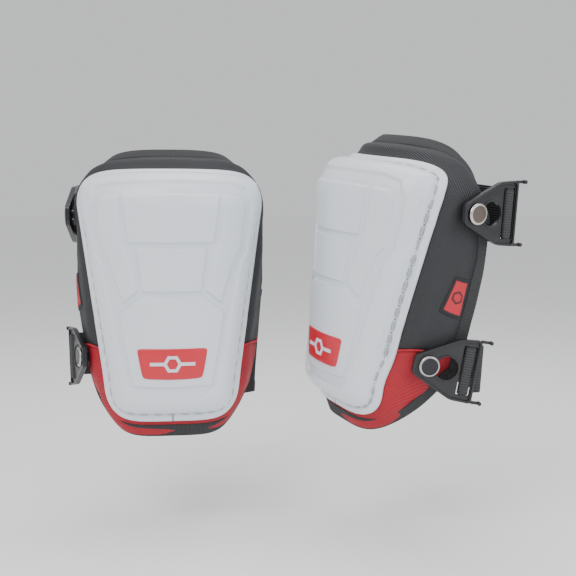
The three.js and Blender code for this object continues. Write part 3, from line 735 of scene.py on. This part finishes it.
def make_stitches(side):
    """Long white stitches along the lip, and dark discs between them as painted shade of the needle holes."""
    data = cap_surface()
    whole = round(data["length"] / STITCH_PITCH)
    steps = 20
    t, v = stitch_line(whole * steps)
    base = CAP_THICK - 1.0
    normal = face_normal(t, v)
    path = face(t, v)
    along = unit(np.roll(path, -1, 0) - np.roll(path, 1, 0))
    across = np.cross(normal, along)
    ring = np.linspace(0, 2 * math.pi, 9)[:-1]
    points, faces, uvs = [], [], []
    for n in range(whole):
        keep = [(n * steps + m) % len(path) for m in range(15)]
        reach = np.linspace(-1, 1, 15)
        swell = np.sqrt(np.maximum(0.05, 1 - reach**6))
        lift = base + 0.75 - 1.1 * np.abs(reach) ** 5
        centre = path[keep] + normal[keep] * lift[:, None]
        body = centre[:, None]
        body = body + across[keep][:, None] * (np.cos(ring) * 1.25)[None, :, None] * swell[:, None, None]
        body = body + normal[keep][:, None] * (np.sin(ring) * 0.85)[None, :, None] * swell[:, None, None]
        first = len(points) * 15 * 8
        points.append(body.reshape(-1, 3))
        faces += (grid_faces(15, 8, False, True) + first).tolist()
        faces += [list(range(first, first + 8))[::-1], [first + 14 * 8 + m for m in range(8)]]
        run = np.linspace(0, 10, 15)[:, None] + 0 * ring[None, :]
        uvs.append(np.stack([run, 0 * run + ring[None, :]], -1).reshape(-1, 2))
    faces = [tuple(f) for f in faces]
    matrix = pad_matrix(side)
    piece = mesh_object(f"{side}_cap_stitches", np.concatenate(points), faces, matrix, np.concatenate(uvs))
    recalculate(piece)
    finish_piece(piece, side, MATERIALS["thread"])
    # Dark discs at the needle holes: painted shade standing in for the holes, which are not modelled.
    points, faces = [], []
    for n in range(whole):
        m = (n * steps + 17) % len(path)
        centre = path[m] + normal[m] * (base + 0.1)
        disc = centre + along[m] * np.cos(ring)[:, None] * 0.9 + across[m] * np.sin(ring)[:, None] * 0.8
        first = n * 9
        points.append(np.vstack([disc, centre + normal[m] * 0.12]))
        faces += [(first + k, first + (k + 1) % 8, first + 8) for k in range(8)]
    piece = mesh_object(f"{side}_needle_holes", np.concatenate(points), faces, matrix)
    finish_piece(piece, side, MATERIALS["hole"])


# ---- the padded body -------------------------------------------------------------------
def ripple(points, size, seed):
    """A soft unevenness from a few crossing waves."""
    x, y, z = (points[..., k] / size for k in range(3))
    wave = np.sin(x * 1.3 + y * 0.7 + seed) * np.cos(z * 1.1 - y * 0.5 + 2 * seed)
    wave = wave + 0.5 * np.sin(z * 2.3 + x * 1.9 + 3 * seed) * np.cos(y * 2.1 - z * 0.8)
    return wave / 1.5


def puff(t, v):
    """How far the padded fabric stands out: full beside the cap, pinched at its hems and seams."""
    points = face(t, v)
    data = cap_surface()
    distance = edge_distance(points, data["edge"][::2])
    front = (points[..., 1] < 70) & (np.abs(t) < 0.75)
    outline = [(p[0], p[2]) for p in data["edge"][::6]]
    under = (inside_depth(outline, points[..., 0], points[..., 2]) > 0) & front
    signed = np.where(under, -distance, distance)
    beside = 1.8 * np.exp(-(((signed - 13) / 9) ** 2))
    beside = beside + ripple(points, 26, 1.7) * 0.9 * smooth(3, 18, signed)
    hem = np.minimum((1 - np.abs(t)) * 150, (1 - v) * 180)
    fold = 1.4 * np.exp(-(((hem - 22) / 8) ** 2)) - 0.6 * np.exp(-(((hem - 13) / 3.5) ** 2))
    across = np.abs(t) * 150
    pull = ripple(points * np.array([0.4, 1.0, 2.2]), 13, 0.4) * 0.35 * smooth(60, 90, across)
    return np.where(signed < 0, -0.3, beside + fold + pull)


def seam_pinch(t, v):
    return -0.9 * np.exp(-(((v - seam_v(t)) * 300 / 2.2) ** 2))


def make_fabric(side):
    """The black padded shell, and the red panel sewn under it."""
    matrix = pad_matrix(side)
    t = np.sin(np.linspace(-1, 1, 260) * math.pi / 2)[None, :] * 0.99
    t = lerp(t, np.linspace(-0.99, 0.99, 260)[None, :], 0.6)
    rows = np.linspace(0, 1, 200)[:, None]
    v = lerp(seam_v(t), 0.995, rows)
    t_all = t + 0 * v
    points = offset(t_all, v, puff(t_all, v) + seam_pinch(t_all, v))
    shell = skin(f"{side}_padded_shell", points, matrix)
    finish_piece(shell, side, MATERIALS["black"], ["fabric_shell", "foam_core"])
    rows = np.linspace(0, 1, 60)[:, None]
    v = lerp(0.005, seam_v(t), rows)
    t_all = t + 0 * v
    hem = v * 330
    height = puff(t_all, v) + seam_pinch(t_all, v) - 0.6 * np.exp(-(((hem - 13) / 3.5) ** 2))
    panel = skin(f"{side}_red_skirt", offset(t_all, v, height), matrix)
    finish_piece(panel, side, MATERIALS["red"], ["red_panel"])
    t_line = np.linspace(-0.985, 0.985, 420)
    path = offset(t_line, seam_v(t_line), puff(t_line, seam_v(t_line)) + 0.2)
    normal = face_normal(t_line, seam_v(t_line))
    along = unit(np.gradient(path, axis=0))
    ring = np.linspace(0, 2 * math.pi, 13)[:-1]
    section_points = np.stack([np.cos(ring), np.sin(ring)], -1) * 1.15
    piping = sweep(f"{side}_piping", path, np.cross(normal, along), normal, section_points, matrix)
    finish_piece(piping, side, MATERIALS["piping"])


def make_lining(side):
    t = np.linspace(-0.985, 0.985, 150)[None, :]
    v = np.linspace(0.01, 0.99, 130)[:, None]
    t, v = t + 0 * v, v + 0 * t
    height = -FABRIC - LAYER_GAPS - foam_depth(t, v) - LINING + 0.7 * ripple(face(t, v), 30, 2.2)
    points = offset(t, v, height)[:, ::-1]
    lining = skin(f"{side}_lining_cloth", points, pad_matrix(side))
    finish_piece(lining, side, MATERIALS["lining"], ["lining"])


def hem_line():
    """Points round the body's hem, their surface normals and the way in from the hem."""
    loop = square_loop(150, 80)
    points = face(loop[:, 0], loop[:, 1])
    along = np.roll(points, -1, 0) - np.roll(points, 1, 0)
    inside_t = np.clip(loop[:, 0], -0.98, 0.98)
    inside_v = np.clip(loop[:, 1], 0.006, 0.994)
    normal = face_normal(inside_t, inside_v)
    inward = unit(np.cross(normal, along))
    near_t, near_v = nearest_face(points + inward * 12, inside_t * 0.93, lerp(inside_v, 0.5, 0.1))
    return points, face(near_t, near_v), face_normal(near_t, near_v)


def make_binding(side):
    """Twill tape folded over the hem."""
    hem, inside, normal = hem_line()
    for _ in range(3):
        normal = unit(np.roll(normal, 1, 0) + normal + np.roll(normal, -1, 0))
        inside = (np.roll(inside, 1, 0) + 2 * inside + np.roll(inside, -1, 0)) / 4
        hem = (np.roll(hem, 1, 0) + 4 * hem + np.roll(hem, -1, 0)) / 6
    inward = inside - hem
    wide = np.linalg.norm(inward, axis=1, keepdims=True)
    outward = -inward / wide
    under = FABRIC + LAYER_GAPS + FOAM_RIM + LINING
    turn = np.linspace(0, math.pi, 15)
    middle = -under / 2
    half = under / 2 + 1.7
    profile = [(-12.2, -0.4), (-11.8, 0.75), (-11.0, 1.15), (-8, 1.3), (-4, 1.6)]
    profile += [(2.6 * math.sin(a), middle + half * math.cos(a)) for a in turn]
    profile += [(-4, -under - 1.6), (-8, -under - 1.4), (-11.6, -under - 1.0), (-12.2, -under + 0.3)]
    profile = np.array(profile)
    share = np.clip(-profile[:, 0] / 12, 0, 1)[None, :, None]
    base = hem[:, None] * (1 - share) + inside[:, None] * share
    out = np.maximum(profile[:, 0], 0)[None, :, None]
    points = base + outward[:, None] * out + normal[:, None] * profile[:, 1][None, :, None]
    run = np.linalg.norm(np.roll(hem, -1, 0) - hem, axis=1)
    run = np.concatenate([[0], np.cumsum(run)[:-1]])
    step = np.concatenate([[0], np.cumsum(np.linalg.norm(np.diff(profile, axis=0), axis=1))])
    uv = np.stack(np.broadcast_arrays(run[:, None], step[None, :]), -1).reshape(-1, 2)
    faces = grid_faces(len(hem), len(profile), True, False)
    binding = mesh_object(f"{side}_hem_binding", points.reshape(-1, 3), faces[:, ::-1], pad_matrix(side), uv)
    finish_piece(binding, side, MATERIALS["binding"], ["edge_binding"])


def make_label(side):
    """The woven label on the body's side, bowed to the padding."""
    corners = [side_at(y, z) for y, z in ((69, 123), (91, 115), (97, 152), (81, 156))]
    j = np.linspace(0, 1, 40)[None, :]
    i = np.linspace(0, 1, 56)[:, None]
    t, v = (
        lerp(lerp(corners[0][k], corners[1][k], j), lerp(corners[3][k], corners[2][k], j), i) for k in (0, 1)
    )
    rim = np.minimum(np.minimum(i, 1 - i) * 36 + 0 * j, np.minimum(j, 1 - j) * 22 + 0 * i)
    height = puff(t, v) + 0.1 + 1.0 * np.sqrt(np.maximum(0, 1 - (1 - np.clip(rim / 1.0, 0, 1)) ** 2))
    height = height - 0.3 * np.exp(-(((rim - 2.2) / 0.6) ** 2))
    uv = np.stack(np.broadcast_arrays((j - 0.5) * 20, (i - 0.5) * 35), -1).reshape(-1, 2)
    label = skin(f"{side}_label_patch", offset(t, v, height), pad_matrix(side), uv)
    finish_piece(label, side, MATERIALS["label"], ["side_label"])


# ---- studs and buckle plates -------------------------------------------------------------
def lathe(name, profile, matrix, count=64):
    """A turned piece; its UV holds each point's radius and angle."""
    around = np.linspace(0, 2 * math.pi, count, endpoint=False)
    r, z = np.array(profile, float).T
    points = np.stack(
        [r[:, None] * np.cos(around), r[:, None] * np.sin(around), z[:, None] + 0 * around], -1
    )
    faces = grid_faces(len(r), count, False, True).tolist()
    faces = [tuple(f) for f in faces]
    faces += [tuple(range(count))[::-1], tuple((len(r) - 1) * count + k for k in range(count))]
    uv = np.stack(np.broadcast_arrays(r[:, None], around[None, :]), -1).reshape(-1, 2)
    piece = mesh_object(name, points.reshape(-1, 3), faces, matrix, uv)
    recalculate(piece)
    select(piece)
    bpy.ops.object.shade_smooth_by_angle(angle=math.radians(35))
    return piece


def make_stud(side, level, spec):
    matrix = pad_matrix(side) @ stud_frame(spec)
    top = HEAD_LOW + 2.4
    profile = [(3, -4.8), (3, HEAD_LOW), (9.2, HEAD_LOW), (9.8, HEAD_LOW + 0.3), (10, HEAD_LOW + 0.9)]
    profile += [(9.7, HEAD_LOW + 1.5), (9.1, top - 0.25), (8.5, top - 0.05), (7.9, top - 0.1)]
    profile += [(7.5, top - 0.32), (7.2, top - 0.3), (6.9, top - 0.05), (5, top - 0.02), (1, top)]
    stud = lathe(f"{side}_{level}_mushroom", profile, matrix)
    finish_piece(stud, side, MATERIALS[f"{level}_stud"], [f"{level}_stud"])


def flat_part(name, outlines, low, high, bevel, matrix):
    """A flat plate from closed outlines, the first the outside, with its edges rounded."""
    curve = bpy.data.curves.new(name, "CURVE")
    curve.dimensions = "2D"
    curve.fill_mode = "BOTH"
    curve.extrude = (high - low) / 2 - bevel
    curve.bevel_depth = bevel
    curve.bevel_resolution = 2
    curve.offset = -bevel
    for outline in outlines:
        spline = curve.splines.new("POLY")
        spline.points.add(len(outline) - 1)
        for point, (x, y) in zip(spline.points, outline):
            point.co = (x, y, 0, 1)
        spline.use_cyclic_u = True
    piece = bpy.data.objects.new(name, curve)
    bpy.context.collection.objects.link(piece)
    select(piece)
    bpy.ops.object.convert(target="MESH")
    piece = bpy.context.view_layer.objects.active
    piece.data.transform(matrix @ Matrix.Translation((0, 0, (low + high) / 2)))
    select(piece)
    bpy.ops.object.mode_set(mode="EDIT")
    bpy.ops.mesh.select_all(action="SELECT")
    bpy.ops.mesh.remove_doubles(threshold=1e-6)
    bpy.ops.mesh.normals_make_consistent(inside=False)
    bpy.ops.object.mode_set(mode="OBJECT")
    bpy.ops.object.shade_smooth_by_angle(angle=math.radians(32))
    return piece


def rounded(points, radius, count=6):
    """A closed outline with its corners rounded."""
    corners = np.array(points, float)
    out = []
    for before, corner, after in zip(np.roll(corners, 1, 0), corners, np.roll(corners, -1, 0)):
        a = corner + unit(before - corner) * radius
        b = corner + unit(after - corner) * radius
        k = np.linspace(0, 1, count)[:, None]
        out.append((1 - k) ** 2 * a + 2 * k * (1 - k) * corner + k * k * b)
    return np.concatenate(out)


def plate_outline(inset):
    waist = 25
    return [
        (PLATE_FRONT + inset, -PLATE_NARROW + inset * 0.6),
        (waist, -PLATE_WIDE + inset),
        (PLATE_REAR - inset, -PLATE_WIDE - 1.5 + inset),
        (PLATE_REAR - inset, PLATE_WIDE + 1.5 - inset),
        (waist, PLATE_WIDE - inset),
        (PLATE_FRONT + inset, PLATE_NARROW - inset * 0.6),
    ]


def keyhole_outline():
    start = math.asin(KEY_SLOT / KEY_BIG)
    big = np.linspace(math.pi - start, -math.pi + start, 40)
    small = np.linspace(-math.pi / 2, -1.5 * math.pi, 16)
    wide = np.stack([KEY_TRAVEL + KEY_BIG * np.cos(big), KEY_BIG * np.sin(big)], -1)
    narrow = np.stack([KEY_SLOT * np.cos(small), KEY_SLOT * np.sin(small)], -1)
    return np.concatenate([wide, narrow])


def make_plate(side, level, spec):
    """The keyhole plate: a slab, its raised rims and the arms beside the strap."""
    matrix = pad_matrix(side) @ stud_frame(spec)
    half = WEBBING_WIDE / 2 + 1
    name = f"{side}_{level}"
    slots = [
        rounded([(low, -half), (high, -half), (high, half), (low, half)], 1.2)
        for low, high in ((SLOT_FRONT, BAR_FRONT), (BAR_REAR, SLOT_REAR))
    ]
    outlines = [rounded(plate_outline(0), 4.0), keyhole_outline(), *slots]
    parts = [flat_part(f"{name}_plate", outlines, PLATE_LIFT, PLATE_TOP, 0.45, matrix)]
    rim = [rounded(plate_outline(0), 4.0), rounded(plate_outline(RIM_WIDE), 2.6)]
    parts.append(flat_part(f"{name}_rim", rim, PLATE_TOP - 0.6, PLATE_TOP + RIM_TALL, 0.4, matrix))
    big = np.linspace(0, 2 * math.pi, 48, endpoint=False)
    hoop = [
        np.stack([KEY_TRAVEL + r * np.cos(big), r * np.sin(big)], -1) for r in (KEY_BIG + 1.7, KEY_BIG + 0.15)
    ]
    parts.append(flat_part(f"{name}_hoop", hoop, PLATE_TOP - 0.4, PLATE_TOP + 0.7, 0.25, matrix))
    for end in (-1, 1):
        y = end * (PLATE_WIDE + 0.2)
        knob = [np.stack([55.1 + 1.9 * np.cos(big[::3]), y + 1.9 * np.sin(big[::3])], -1)]
        parts.append(flat_part(f"{name}_knob", knob, PLATE_LIFT, PLATE_TOP + RIM_TALL, 0.5, matrix))
        arm = [rounded([(46, y - 1.3), (56, y - 1.3), (56, y + 1.3), (46, y + 1.3)], 0.8)]
        parts.append(flat_part(f"{name}_arm", arm, PLATE_LIFT + 0.1, PLATE_TOP, 0.3, matrix))
    select(*parts)
    bpy.ops.object.join()
    plate = bpy.context.view_layer.objects.active
    plate.name = f"{name}_keyhole_plate"
    nodes = [f"{level}_buckle_plate"]
    finish_piece(plate, side, MATERIALS["buckle"], nodes, f"{side}_{level}_buckle")


def make_loop(side, level, spec):
    """The strap's end wrapped round the plate's centre bar."""
    matrix = pad_matrix(side) @ stud_frame(spec)
    low, high = PLATE_LIFT - 1.2, PLATE_TOP + 1.2
    front, rear = BAR_FRONT - 1.2, BAR_REAR + 1.2
    ring = rounded([(front, low), (rear, low), (rear, high), (front, high)], 2.6, 9)
    path = np.stack([ring[:, 0], 0 * ring[:, 0], ring[:, 1]], -1)
    along = unit(np.roll(path, -1, 0) - np.roll(path, 1, 0))
    across = np.tile([0.0, 1.0, 0.0], (len(path), 1))
    outward = np.cross(across, along)
    run = np.concatenate([[0], np.cumsum(np.linalg.norm(np.diff(path, axis=0), axis=1))])
    section_points = flat_section(WEBBING_WIDE, 1.6)
    uv = np.stack(np.broadcast_arrays(run[:, None], section_points[None, :, 0]), -1).reshape(-1, 2)
    loop = sweep(f"{side}_{level}_bar_loop", path, across, outward, section_points, matrix, True, uv)
    body = f"{side}_{level}_buckle"
    finish_piece(loop, side, MATERIALS["webbing"], [f"{level}_strap_loop"], body)


# ---- straps and the calf wrap ------------------------------------------------------------
def catmull(points, count):
    """An open smooth curve through the points, evenly spaced."""
    p = np.array(points, float)
    p = np.vstack([2 * p[0] - p[1], p, 2 * p[-1] - p[-2]])
    out = []
    for a, b, c, d in zip(p, p[1:], p[2:], p[3:]):
        k = np.linspace(0, 1, 24, endpoint=False)[:, None]
        square, cube = 2 * a - 5 * b + 4 * c - d, 3 * b - a - 3 * c + d
        out.append(0.5 * (2 * b + (c - a) * k + square * k**2 + cube * k**3))
    line = np.concatenate([*out, p[-2:-1]])
    run = np.concatenate([[0], np.cumsum(np.linalg.norm(np.diff(line, axis=0), axis=1))])
    at = np.linspace(0, run[-1], count)
    return np.stack([np.interp(at, run, line[:, k]) for k in range(line.shape[1])], -1)


def strap_path(level, spec):
    frame_here = stud_frame(spec)
    back = STRAP_HANG if level == "upper" else STRAP_HANG + 4
    start = frame_here @ Vector((back + 1.5, 0, 0.9))
    if level == "upper":
        after = frame_here @ Vector((STRAP_HANG + 14, 0, -3.0))
        rest = [(48, 137), (0, 142), (-46, 134), (-57, 120), (-57, 98)]
    else:
        after = frame_here @ Vector((STRAP_HANG + 16, 0, -3.0))
        rest = [(68, 116), (36, 122), (-4, 126), (-30, 138)]
    middle = spec["z"] - math.tan(math.radians(spec["droop"])) * STRAP_HANG
    flat = catmull([(start.x, start.y), (after.x, after.y), *rest], 160)
    return np.column_stack([flat, np.full(len(flat), middle)])


def band_directions(path):
    along = unit(np.gradient(path, axis=0))
    up = np.tile([0.0, 0.0, 1.0], (len(path), 1))
    return up, np.cross(along, up)


def make_strap(side, level, spec):
    """The elastic strap from the plate round behind the leg, with its hook tape."""
    matrix = pad_matrix(side)
    path = strap_path(level, spec)
    up, out = band_directions(path)
    sag = ripple(path, 40, 0.9)[:, None] * 0.8
    path = path + out * sag * smooth(8, 40, np.arange(len(path)))[:, None]
    piece = sweep(f"{side}_{level}_webbing", path, up, out, flat_section(WEBBING_WIDE, WEBBING_THICK), matrix)
    finish_piece(piece, side, MATERIALS["webbing"], [f"{level}_strap"], "")
    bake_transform(piece)
    keep = slice(34, 74)
    tape = path[keep] + out[keep] * 1.75
    narrow = flat_section(WEBBING_WIDE - 5, 1.4)
    hook = sweep(f"{side}_{level}_hook_tape", tape, up[keep], out[keep], narrow, matrix)
    finish_piece(hook, side, MATERIALS["hook"], [f"{level}_hook_tab"])


def make_wrap(side):
    """The stretch panel behind the calf, flaring to its hemmed lower edge."""
    plan = [(-62.5, 80), (-64, 101), (-80, 118), (-97, 128), (-93, 146), (-58, 153), (-28, 144), (2, 131)]
    path = catmull(plan, 150)
    k = np.linspace(0, 1, 150)
    path = np.column_stack([path, 0 * k])
    _, out = band_directions(path)
    narrow = smooth(0.5, 1, k)
    low = lerp(20, 36, np.maximum(narrow, 1 - smooth(0, 0.25, k)))
    high = lerp(132, 84, narrow)
    flare = 9 * smooth(0.12, 0.4, k) * (1 - smooth(0.6, 0.9, k))
    j = np.linspace(0, 1, 60)
    hemmed = 1 + 0.7 * (1 - smooth(0.09, 0.12, j)) + 0.5 * smooth(0.93, 0.95, j)
    fold = np.sin(k * 40)[:, None] * 0.5 * smooth(0.1, 0.5, 1 - j)[None, :]
    layers = []
    for face_side in (1, -1):
        off = (flare[:, None] * (1 - j)[None, :]) + fold + face_side * 1.15 * hemmed[None, :]
        point = path[:, None] + out[:, None] * off[..., None]
        point[..., 2] = low[:, None] + (high - low)[:, None] * j[None, :]
        layers.append(point if face_side > 0 else point[:, ::-1])
    points = np.concatenate(layers, 1)
    run = np.concatenate([[0], np.cumsum(np.linalg.norm(np.diff(path, axis=0), axis=1))])
    uv = np.stack(np.broadcast_arrays(run[:, None], points[..., 2]), -1).reshape(-1, 2)
    count = points.shape[1]
    faces = [tuple(f) for f in grid_faces(len(path), count, False, True).tolist()]
    half = count // 2
    for end in (0, (len(path) - 1) * count):
        faces += [(end + m, end + m + 1, end + count - 2 - m, end + count - 1 - m) for m in range(half - 1)]
    wrap = mesh_object(f"{side}_calf_panel", points.reshape(-1, 3), faces, pad_matrix(side), uv)
    recalculate(wrap)
    finish_piece(wrap, side, MATERIALS["wrap"], ["calf_wrap"])


def finish_nodes(side):
    """The CAD pieces that stay as they are get their detailed materials."""
    looks = {"badge_mark": "mark", "gel_insert": "gel"}
    for level in LEVELS:
        looks[f"{level}_stud_washer"] = "washer"
        looks[f"{level}_collar"] = "collar"
    for name, look in looks.items():
        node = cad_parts[f"{side}_{name}"]
        node.data.materials.clear()
        node.data.materials.append(MATERIALS[look])


# ---- stage -----------------------------------------------------------------------------
CAMERA_PLACE = (0.1181, -1.007, 0.0832)
CAMERA_TILT = 4.7
CAMERA_LENS = 62.5


def make_stage(settings):
    """A pale floor under a white sky, soft lights, and the camera."""
    floor_z = -settings.floor_drop
    bpy.ops.mesh.primitive_plane_add(size=1, location=(0.1, 0, floor_z))
    floor = bpy.context.active_object
    floor.name = "floor"
    floor.scale = (60, 60, 1)
    look = Finish("studio_floor", (0.96, 0.96, 0.96), 0.9)
    floor.data.materials.append(look.material)
    world = bpy.data.worlds.new("studio")
    bpy.context.scene.world = world
    world.use_nodes = True
    world.node_tree.nodes["Background"].inputs["Color"].default_value = (0.97, 0.98, 1.0, 1)
    world.node_tree.nodes["Background"].inputs["Strength"].default_value = settings.sky
    lamps = (
        ("key", (-0.55, -1.15, 1.15), 1.0, 15.0, (1.0, 0.98, 0.96)),
        ("fill", (1.25, -0.85, 0.55), 1.1, 8.0, (0.95, 0.97, 1.0)),
        ("top", (0.15, 0.15, 1.35), 1.2, 11.0, (1.0, 1.0, 1.0)),
    )
    for name, place, size, power, colour in lamps:
        bpy.ops.object.light_add(type="AREA", location=place)
        lamp = bpy.context.active_object
        lamp.name = f"{name}_light"
        lamp.data.shape = "DISK"
        lamp.data.size = size
        lamp.data.energy = power * settings.light
        lamp.data.color = colour
        aim = Vector((0.1, 0, 0)) - Vector(place)
        lamp.rotation_euler = aim.to_track_quat("-Z", "Y").to_euler()
    bpy.ops.object.camera_add(location=CAMERA_PLACE, rotation=(math.radians(90 - CAMERA_TILT), 0, 0))
    camera = bpy.context.active_object
    camera.name = "camera"
    camera.data.lens = CAMERA_LENS
    camera.data.sensor_width = 36
    camera.data.clip_start = 0.01
    bpy.context.scene.camera = camera


# ---- the add-on ------------------------------------------------------------------------
class KneePadSettings(bpy.types.PropertyGroup):
    """What can be set about the pair and its stage."""

    floor_drop: bpy.props.FloatProperty(
        name="Floor drop",
        description="How far the floor lies under the right pad's hollow",
        default=0.24,
        min=0.16,
        unit="LENGTH",
    )
    light: bpy.props.FloatProperty(
        name="Light", description="Strength of the lamps", default=1.0, min=0
    )
    sky: bpy.props.FloatProperty(
        name="Sky", description="Strength of the even light all round", default=0.75, min=0
    )


class PieceOperator:
    """Builds one kind of piece for both pads."""

    bl_options = {"REGISTER", "UNDO"}

    def execute(self, context):
        for side in SIDES:
            self.build(side)
        return {"FINISHED"}


class KNEEPAD_OT_cap(PieceOperator, bpy.types.Operator):
    """Adds the moulded kneeling caps"""

    bl_idname = "kneepad.cap"
    bl_label = "Caps"

    def build(self, side):
        make_cap(side)


class KNEEPAD_OT_badge(PieceOperator, bpy.types.Operator):
    """Adds the red plates on the caps"""

    bl_idname = "kneepad.badge"
    bl_label = "Badges"

    def build(self, side):
        make_badge(side)


class KNEEPAD_OT_stitches(PieceOperator, bpy.types.Operator):
    """Adds the stitches that sew the caps down"""

    bl_idname = "kneepad.stitches"
    bl_label = "Stitches"

    def build(self, side):
        make_stitches(side)


class KNEEPAD_OT_fabric(PieceOperator, bpy.types.Operator):
    """Adds the padded shells, the red skirts and their piping"""

    bl_idname = "kneepad.fabric"
    bl_label = "Padded fabric"

    def build(self, side):
        make_fabric(side)


class KNEEPAD_OT_lining(PieceOperator, bpy.types.Operator):
    """Adds the linings of the leg hollows"""

    bl_idname = "kneepad.lining"
    bl_label = "Linings"

    def build(self, side):
        make_lining(side)


class KNEEPAD_OT_binding(PieceOperator, bpy.types.Operator):
    """Adds the tape folded over the hems"""

    bl_idname = "kneepad.binding"
    bl_label = "Bindings"

    def build(self, side):
        make_binding(side)


class KNEEPAD_OT_label(PieceOperator, bpy.types.Operator):
    """Adds the woven side labels"""

    bl_idname = "kneepad.label"
    bl_label = "Labels"

    def build(self, side):
        make_label(side)


class KNEEPAD_OT_buckles(PieceOperator, bpy.types.Operator):
    """Adds the studs, the keyhole plates and the strap loops on them"""

    bl_idname = "kneepad.buckles"
    bl_label = "Buckles"

    def build(self, side):
        for level, spec in zip(LEVELS, (STUD_UPPER, STUD_LOWER)):
            make_stud(side, level, spec)
            make_plate(side, level, spec)
            make_loop(side, level, spec)


class KNEEPAD_OT_straps(PieceOperator, bpy.types.Operator):
    """Adds the elastic straps, their hook tapes and the calf panels"""

    bl_idname = "kneepad.straps"
    bl_label = "Straps"

    def build(self, side):
        for level, spec in zip(LEVELS, (STUD_UPPER, STUD_LOWER)):
            make_strap(side, level, spec)
        make_wrap(side)


class KNEEPAD_OT_nodes(PieceOperator, bpy.types.Operator):
    """Gives the frame pieces that stay in view their finishes"""

    bl_idname = "kneepad.nodes"
    bl_label = "Frame finishes"

    def build(self, side):
        finish_nodes(side)


class KNEEPAD_OT_stage(bpy.types.Operator):
    """Adds the floor, the lights and the camera"""

    bl_idname = "kneepad.stage"
    bl_label = "Stage"
    bl_options = {"REGISTER", "UNDO"}

    def execute(self, context):
        make_stage(context.scene.knee_pads)
        return {"FINISHED"}


PIECES = (
    KNEEPAD_OT_cap,
    KNEEPAD_OT_badge,
    KNEEPAD_OT_stitches,
    KNEEPAD_OT_fabric,
    KNEEPAD_OT_lining,
    KNEEPAD_OT_binding,
    KNEEPAD_OT_label,
    KNEEPAD_OT_buckles,
    KNEEPAD_OT_straps,
    KNEEPAD_OT_nodes,
    KNEEPAD_OT_stage,
)


class KNEEPAD_PT_panel(bpy.types.Panel):
    """One button for each group of pieces"""

    bl_label = "Knee Pads"
    bl_idname = "KNEEPAD_PT_panel"
    bl_space_type = "VIEW_3D"
    bl_region_type = "UI"
    bl_category = "Knee Pads"

    def draw(self, context):
        settings = context.scene.knee_pads
        for name in ("floor_drop", "light", "sky"):
            self.layout.prop(settings, name)
        for piece in PIECES:
            self.layout.operator(piece.bl_idname)


CLASSES = (KneePadSettings, *PIECES, KNEEPAD_PT_panel)


def register():
    for cls in CLASSES:
        bpy.utils.register_class(cls)
    bpy.types.Scene.knee_pads = bpy.props.PointerProperty(type=KneePadSettings)


def unregister():
    del bpy.types.Scene.knee_pads
    for cls in reversed(CLASSES):
        bpy.utils.unregister_class(cls)


def main():
    register()
    make_materials()
    for piece in PIECES:
        group, name = piece.bl_idname.split(".")
        getattr(getattr(bpy.ops, group), name)()


if __name__ == "__main__":
    main()
